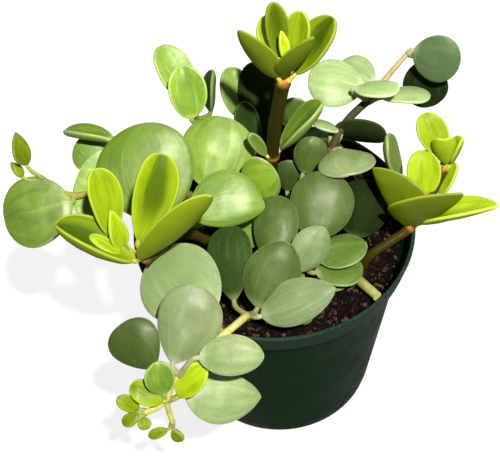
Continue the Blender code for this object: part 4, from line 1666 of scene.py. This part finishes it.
PLAN_VALUES = {
    "leafy": 0.0, "finish": 0, "girth": 0.0, "skin": (0.0, 0.0, 0.0, 1.0), "collar": 0.0,
    "start": (0.0, 0.0, 0.0), "along": (0.0, 0.0, 1.0), "inner": (0.0, 0.0, 1.0),
    "side": (1.0, 0.0, 0.0), "length": 0.0, "spread": 0.0, "fold": 0.1, "curl": 0.1,
    "thick": 0.0, "rim": 0.001, "cushion": 0.003, "base_taper": 0.6, "tip_taper": 0.5,
    "skew": 0.0, "sweep": 0.0, "twist": 0.0, "wave": 0.0, "phase": 0.0, "roll": 0.0,
    "shade": 0.0, "tone": (1.0, 1.0, 1.0, 1.0), "heart": 0.0,
}
PLAN_KINDS = {
    float: ("FLOAT", "value"), int: ("INT", "value"),
    3: ("FLOAT_VECTOR", "vector"), 4: ("FLOAT_COLOR", "color"),
}
KEPT_VALUES = ("skin", "collar", "shade", "tone", "heart")
FIRST_SEED = 11


# The pot and its soil


@dataclass
class NurseryPot:
    """The round tapered pot with its collar, thin lip, foot ring and drain holes.

    Sizes are in millimetres. Under the lip the collar's outside steps in by lip_overhang.
    """

    height: float = 85.0
    rim_radius: float = 51.0
    lip_overhang: float = 0.45
    lip_height: float = 1.2
    collar_bottom_radius: float = 49.0
    collar_height: float = 9.5
    step_in: float = 2.4
    body_top_radius: float = 46.6
    base_radius: float = 34.6
    wall: float = 1.3
    floor: float = 1.4
    foot_inset: float = 1.6
    foot_width: float = 2.6
    foot_height: float = 0.8
    centre_pad_radius: float = 9.0
    drain_holes: int = 6
    drain_hole_radius: float = 3.2
    drain_hole_sides: int = 28
    drain_ring_radius: float = 25.0
    sides: int = 144
    corner_steps: int = 4
    corner_reach: float = 0.45
    sharp_angle: float = 50.0
    merge_distance: float = 0.01

    @property
    def shoulder(self) -> float:
        """The height at which the body steps out to the collar."""
        return self.height - self.collar_height - self.step_in

    def wall_radius(self, height: float) -> float:
        """Returns the body's outer radius at a height below the collar."""
        share = height / (self.height - self.collar_height)
        return self.base_radius + (self.body_top_radius - self.base_radius) * share

    def _rounded(self, corners: list[tuple[float, float, float]]) -> list[tuple[float, float]]:
        """Rounds the corners of a closed outline.

        Args:
            corners: Radius, height and rounding of each corner.

        Returns:
            The outline's points.
        """
        outline = []
        for index, (x, z, rounding) in enumerate(corners):
            if rounding <= 0.0:
                outline.append((x, z))
                continue
            here = Vector((x, z))
            before = Vector(corners[index - 1][:2]) - here
            after = Vector(corners[(index + 1) % len(corners)][:2]) - here
            start, stop = (
                here + leg.normalized() * min(rounding, leg.length * self.corner_reach)
                for leg in (before, after)
            )
            for step in range(self.corner_steps + 1):
                t = step / self.corner_steps
                point = start * (1 - t) ** 2 + here * (2 * t * (1 - t)) + stop * t * t
                outline.append((point.x, point.y))
        return outline

    def profile(self) -> list[tuple[float, float]]:
        """Draws the pot's closed section.

        Each corner has its radius, height and rounding, from the middle of the underside
        out along the foot, up the outside, over the lip, and down the inside.

        Returns:
            The section's points, as radius and height.
        """
        collar = self.height - self.collar_height
        foot = self.base_radius - self.foot_inset
        top_floor = self.floor + self.foot_height
        return self._rounded([
            (0.0, 0.0, 0.0),
            (self.centre_pad_radius, 0.0, 0.2),
            (self.centre_pad_radius + self.foot_height, self.foot_height, 0.3),
            (foot - self.foot_width - self.foot_height, self.foot_height, 0.3),
            (foot - self.foot_width, 0.0, 0.2),
            (foot, 0.0, 0.2),
            (self.base_radius - 0.2, 1.2, 1.4),
            (self.wall_radius(6.0), 6.0, 0.5),
            (self.wall_radius(40.0), 40.0, 0.5),
            (self.wall_radius(self.shoulder), self.shoulder, 0.7),
            (self.collar_bottom_radius - 0.5, collar, 0.9),
            (self.collar_bottom_radius + 0.25, collar + 1.4, 0.8),
            (self.rim_radius - self.lip_overhang, self.height - 1.9, 0.35),
            (self.rim_radius, self.height - self.lip_height, 0.3),
            (self.rim_radius, self.height, 0.5),
            (self.rim_radius - self.wall, self.height, 0.45),
            (self.rim_radius - self.wall - 0.25, self.height - 0.9, 0.5),
            (self.collar_bottom_radius - self.wall, collar + 0.4, 0.8),
            (self.wall_radius(self.shoulder) - self.wall, self.shoulder, 0.8),
            (self.wall_radius(top_floor) - self.wall, top_floor, 0.8),
            (0.0, top_floor, 0.0),
        ])

    def _tree(self, material: bpy.types.Material) -> GeometrySheet:
        """Builds the tree that turns a section round the pot's axis and drills the floor.

        Args:
            material: The pot's material.

        Returns:
            The tree.
        """
        sheet = GeometrySheet("turned pot")
        section = sheet.entry_socket("Section", "Geometry")
        sides = sheet.entry_socket("Sides", "Int", self.sides)
        rows = sheet.entry_socket("Rows", "Int", len(self.profile()))
        ring = sheet.entry_socket("Drain ring radius", "Float", self.drain_ring_radius * MM)
        hole = sheet.entry_socket("Drain hole radius", "Float", self.drain_hole_radius * MM)
        number = sheet.call("GeometryNodeInputIndex")
        turn = (number / rows).floor() / sides * (2 * pi)
        point = sheet.call(
            "GeometryNodeSampleIndex", 0,
            {"Geometry": section, "Value": sheet.position(), "Index": number.modulo(rows)},
            data_type="FLOAT_VECTOR", domain="POINT",
        )
        radius, height = sheet.part(point, "X"), sheet.part(point, "Z")
        placed = sheet.combine(radius * turn.cosine(), radius * turn.sine(), height)
        pot = sheet.work("SetPosition", sheet.unit_grid(sides + 1.0, rows), Position=placed)
        pot = sheet.work("MergeByDistance", pot, Distance=self.merge_distance * MM)
        circle = sheet.call(
            "GeometryNodeMeshCircle", 0, {"Vertices": self.drain_holes, "Radius": ring},
            fill_type="NONE",
        )
        drill = sheet.call(
            "GeometryNodeMeshCylinder", 0,
            {"Vertices": self.drain_hole_sides, "Radius": hole, "Depth": 6 * self.floor * MM},
        )
        drills = sheet.work("RealizeInstances", sheet.plant(circle, Instance=drill))
        half_step = (0.0, 0.0, pi / self.drain_holes)
        drills = sheet.work("Transform", drills, Rotation=half_step)
        pot = sheet.call(
            "GeometryNodeMeshBoolean", 0, {"Mesh 1": pot, "Mesh 2": drills},
            operation="DIFFERENCE", solver="EXACT",
        )
        sheet.finish(sheet.work("SetShadeSmooth", pot), [material])
        return sheet

    def build(self, material: bpy.types.Material) -> bpy.types.Object:
        """Builds the pot's piece.

        Args:
            material: The pot's material.

        Returns:
            The piece.
        """
        profile = self.profile()
        mesh = bpy.data.meshes.new("pot_section")
        mesh.from_pydata([(x * MM, 0.0, z * MM) for x, z in profile], [], [])
        piece = self._tree(material).run(
            link_object("pot_section", mesh), "nursery_pot",
            sides=self.sides, rows=len(profile),
        )
        piece.data.set_sharp_from_angle(angle=radians(self.sharp_angle))
        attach(piece, "root")
        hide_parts("pot")
        return piece


@dataclass(frozen=True)
class Crumbs:
    """One size of crumb: how many, how large, how fine its mesh, and its own draws."""

    share: float
    scale: float
    detail: int
    shift: int
    smallest: float = 0.45
    largest: float = 1.35
    low_flat: float = 0.6
    high_flat: float = 0.8
    tone_power: float = 2.5
    dent_scale: float = 900.0
    dent: float = 0.9


FINE_CRUMBS = Crumbs(1.0, 0.55, 1, 0)
COARSE_CRUMBS = Crumbs(0.34, 1.25, 2, 40)


@dataclass
class PottingSoil:
    """The filled-in potting mix: a lumpy bed with fine and coarse crumbs.

    Sizes are in millimetres, and the crumbs' density is by the square millimetre.
    """

    pot: NurseryPot
    level: float = 77.0
    relief: float = 1.1
    lumps: float = 2.2
    lump_scale: float = 520.0
    crumb_depth: float = 3.0
    gap: float = 0.3
    rings: int = 44
    sides: int = 120
    crumb_density: float = 0.42
    crumb_size: float = 0.9
    seed: int = 7

    def height(self, x: float, y: float) -> float:
        """Measures the soil's top, which a broad and a slanting wave lift.

        Args:
            x: The place along X.
            y: The place along Y.

        Returns:
            The top's height there.
        """
        broad = sin(x * 0.21 + 0.6) * cos(y * 0.17 - 0.4)
        slanting = sin(x * 0.43 - y * 0.37 + 1.9)
        return self.level + self.relief * (broad + 0.5 * slanting) / 1.5

    def _plug(self) -> bpy.types.Object:
        """Makes the plug of soil that the crumbs lie on.

        Returns:
            The plug.
        """
        bottom = self.pot.foot_height + self.pot.floor + self.gap
        shoulder = self.pot.shoulder
        reach = self.pot.wall_radius(shoulder) - self.pot.wall - self.gap
        low = self.pot.wall_radius(bottom) - self.pot.wall - self.gap
        rings = [(low, bottom), (reach, shoulder)]
        rings += [(reach * (1 - ring / self.rings), None) for ring in range(self.rings)]
        points, faces = [], []
        for radius, height in rings:
            for side in range(self.sides):
                angle = 2 * pi * side / self.sides
                x, y = radius * cos(angle), radius * sin(angle)
                z = self.height(x, y) if height is None else height
                points.append((x * MM, y * MM, z * MM))
        top = len(points)
        points += [(0.0, 0.0, self.height(0, 0) * MM), (0.0, 0.0, bottom * MM)]
        for ring in range(len(rings) - 1):
            here = ring * self.sides
            for side in range(self.sides):
                after = (side + 1) % self.sides
                faces.append((here + side, here + after,
                              here + self.sides + after, here + self.sides + side))
        for side in range(self.sides):
            after = (side + 1) % self.sides
            faces.append((top - self.sides + side, top - self.sides + after, top))
            faces.append((after, side, top + 1))
        mesh = bpy.data.meshes.new("soil_plug")
        mesh.from_pydata(points, [], faces)
        return link_object("soil_plug", mesh)

    def _tree(self, materials: list[bpy.types.Material]) -> GeometrySheet:
        """Builds the tree that roughens the soil and scatters crumbs on it.

        Args:
            materials: Those of the bed and the crumbs.

        Returns:
            The tree.
        """
        sheet = GeometrySheet("crumbled soil")
        bed = sheet.entry_socket("Plug", "Geometry")
        density = sheet.entry_socket("Crumb density", "Float", 1.0)
        size = sheet.entry_socket("Crumb size", "Float", self.crumb_size * MM)
        seed = sheet.entry_socket("Seed", "Int", self.seed)
        upwards = sheet.part(sheet.call("GeometryNodeInputNormal"), "Z").most(0.0)
        rough = sheet.noise(sheet.position(), self.lump_scale, detail=4.0)
        lumps = (rough - 0.5) * upwards * self.lumps * MM
        bed = sheet.work("SetPosition", bed, Offset=sheet.combine(0.0, 0.0, lumps))
        bed = sheet.store(bed, "crumb", rough)
        bed = sheet.store(bed, "finish", upwards * 0.0, "INT")
        height = sheet.part(sheet.position(), "Z")
        top = sheet.compare(
            "FLOAT", "GREATER_THAN", {0: height, 1: (self.level - self.crumb_depth) * MM}
        )
        crumbs = [
            self._scatter(sheet, kind, size, {
                "Mesh": bed, "Selection": top, "Density": density * kind.share,
                "Seed": seed + float(kind.shift),
            })
            for kind in (FINE_CRUMBS, COARSE_CRUMBS)
        ]
        sheet.finish(sheet.join(bed, *crumbs), materials)
        return sheet

    @staticmethod
    def _scatter(sheet: GeometrySheet, kind: Crumbs, size: Field, spread: dict) -> Field:
        """Scatters one size of crumb.

        Args:
            sheet: The tree.
            kind: The size of crumb.
            size: The size that it is a share of.
            spread: The inputs of the node that spreads the crumbs.

        Returns:
            The crumbs.
        """
        def draw(low: object, high: object, number: int) -> Field:
            """Draws a random vector or number for each crumb.

            Args:
                low: The lowest value.
                high: The highest value.
                number: What tells this draw from the crumb's others.

            Returns:
                The drawn value.
            """
            vector = isinstance(low, tuple)
            sockets = (0, 1) if vector else (2, 3)
            return sheet.call(
                "FunctionNodeRandomValue", 0 if vector else 1,
                {sockets[0]: low, sockets[1]: high, "Seed": kind.shift + number},
                data_type="FLOAT_VECTOR" if vector else "FLOAT",
            )

        points = sheet.call(
            "GeometryNodeDistributePointsOnFaces", 0, spread, distribute_method="RANDOM"
        )
        crumb = sheet.call(
            "GeometryNodeMeshIcoSphere", 0, {"Radius": 1.0, "Subdivisions": kind.detail}
        )
        low, high = kind.smallest * kind.scale, kind.largest * kind.scale
        spin = draw((0.0, 0.0, 0.0), (6.28, 6.28, 6.28), 1)
        grow = draw((low, low, low * kind.low_flat), (high, high, high * kind.high_flat), 2)
        tone = draw(0.0, 1.0, 3)
        crumbs = sheet.plant(points, Instance=crumb, Rotation=spin, Scale=grow * size)
        crumbs = sheet.store(crumbs, "crumb", tone ** kind.tone_power, "FLOAT", "INSTANCE")
        crumbs = sheet.store(crumbs, "finish", tone * 0.0 + 1.0, "INT", "INSTANCE")
        crumbs = sheet.work("RealizeInstances", crumbs)
        dent = sheet.noise(sheet.position(), kind.dent_scale, output="Color")
        offset = (dent - (0.5, 0.5, 0.5)) * size * kind.dent
        return sheet.work("SetPosition", crumbs, Offset=offset)

    def build(self, materials: list[bpy.types.Material]) -> bpy.types.Object:
        """Builds the soil's piece.

        Args:
            materials: Those of the bed and the crumbs.

        Returns:
            The piece.
        """
        piece = self._tree(materials).run(
            self._plug(), "potting_soil",
            crumb_density=self.crumb_density / MM / MM, seed=self.seed,
        )
        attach(piece, "root")
        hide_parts("soil")
        return piece


# The studio


@dataclass
class Studio:
    """The camera, the floor and the lights.

    The camera looks at a point over the pot's rim, which shift_right and shift_up move by
    pixels of the photograph. The floor answers the camera with a paper white, and other
    rays with a plain grey. The rest of the sizes are in metres, the angles in degrees.
    """

    elevation: float = 50.5
    roll: float = -4.0
    distance: float = 0.55
    focal_pixels: float = 1520.0
    image_width: float = 500.0
    sensor: float = 36.0
    clip_start: float = 0.01
    rim_height: float = 0.085
    shift_right: float = 24.0
    shift_up: float = 6.3
    floor_reach: float = 12.0
    floor_bounce: float = 0.22
    floor_grey: float = 0.16
    floor_white: float = 0.84
    key_energy: float = 5.8
    key_angle: float = 2.5
    key_colour: Triple = (1.0, 0.97, 0.9)
    key_from: Triple = (0.17, -0.47, 0.87)
    side_energy: float = 3.0
    side_size: float = 0.6
    side_place: Triple = (0.45, 0.5, 0.65)
    side_from: Triple = (0.45, 0.5, 0.55)
    sky_colour: Triple = (0.93, 0.96, 1.0)
    sky_strength: float = 0.08

    def camera(self) -> None:
        """Makes the camera at the photograph's angle."""
        tilt, roll = radians(self.elevation), radians(self.roll)
        ahead = Vector((0.0, cos(tilt), -sin(tilt)))
        level = Vector((1.0, 0.0, 0.0))
        above = level.cross(ahead)
        right = level * cos(roll) + above * sin(roll)
        up = above * cos(roll) - level * sin(roll)
        per_pixel = self.distance / self.focal_pixels
        target = Vector((0.0, 0.0, self.rim_height))
        target -= right * (self.shift_right * per_pixel) + up * (self.shift_up * per_pixel)
        data = bpy.data.cameras.new("camera")
        data.sensor_width = self.sensor
        data.lens = self.sensor * self.focal_pixels / self.image_width
        data.clip_start = self.clip_start
        made = link_object("camera", data)
        matrix = Matrix((right, up, -ahead)).transposed().to_4x4()
        matrix.translation = target - ahead * self.distance
        made.matrix_world = matrix
        bpy.context.scene.camera = made

    def floor(self) -> None:
        """Makes the plain pale floor."""
        mesh = bpy.data.meshes.new("floor")
        corners = ((-1, -1), (1, -1), (1, 1), (-1, 1))
        mesh.from_pydata(
            [(x * self.floor_reach, y * self.floor_reach, 0.0) for x, y in corners],
            [], [(0, 1, 2, 3)],
        )
        made = bpy.data.materials.new("pale floor")
        made.use_nodes = True
        ink = Inks(made.node_tree)
        bounced, seen = (
            ink.call("ShaderNodeBsdfDiffuse", 0, {"Color": (grey, grey, grey)})
            for grey in (self.floor_bounce, self.floor_grey)
        )
        paper = ink.call("ShaderNodeEmission", 0, {"Strength": self.floor_white})
        lit = ink.call("ShaderNodeAddShader", 0, {0: seen, 1: paper})
        camera_ray = ink.call("ShaderNodeLightPath", "Is Camera Ray")
        shade = ink.call("ShaderNodeMixShader", 0, {0: camera_ray, 1: bounced, 2: lit})
        ink.feed(ink.tree.nodes["Material Output"], {"Surface": shade})
        mesh.materials.append(made)
        link_object("floor", mesh)

    @staticmethod
    def _light(data: bpy.types.Light, source: Triple) -> bpy.types.Object:
        """Places a light that shines from the side of a point towards the origin.

        Args:
            data: The light.
            source: The point.

        Returns:
            The light's object.
        """
        made = link_object(data.name, data)
        made.rotation_euler = Vector(source).to_track_quat("Z", "Y").to_euler()
        return made

    def lights(self) -> None:
        """Makes the key light, the fill and the pale surround."""
        key = bpy.data.lights.new("key", "SUN")
        key.energy = self.key_energy
        key.angle = radians(self.key_angle)
        key.color = self.key_colour
        self._light(key, self.key_from)
        side = bpy.data.lights.new("side", "AREA")
        side.energy = self.side_energy
        side.size = self.side_size
        self._light(side, self.side_from).location = self.side_place
        world = bpy.data.worlds.new("surround")
        world.use_nodes = True
        sky = Inks(world.node_tree)
        sky.feed(sky.tree.nodes["Background"],
                 {"Color": self.sky_colour, "Strength": self.sky_strength})
        bpy.context.scene.world = world


def main() -> None:
    """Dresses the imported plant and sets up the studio."""
    logging.basicConfig(level=logging.INFO, format="%(message)s")
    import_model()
    studio = Studio()
    studio.camera()
    studio.floor()
    studio.lights()
    bpy.context.scene.view_settings.view_transform = "Standard"

    effects = EffectLibrary()
    skins = [LEAF_FINISHES[age].build(effects) for age in Age]
    skins.append(StemFinish().build())
    tree = LeafyStemTree(skins)
    for number, (name, (shoots, slot)) in enumerate(PLANT.items()):
        report(LeafyStem(name, shoots, slot, seed=FIRST_SEED + number).build(tree))
    pot = NurseryPot()
    report(pot.build(PlasticFinish().build()))
    report(PottingSoil(pot).build([finish.build() for finish in SOIL_FINISHES]))


def report(piece: bpy.types.Object) -> None:
    """Logs a piece's size in triangles."""
    piece.data.calc_loop_triangles()
    LOG.info("%s: %d triangles", piece.name, len(piece.data.loop_triangles))


if __name__ == "__main__":
    main()
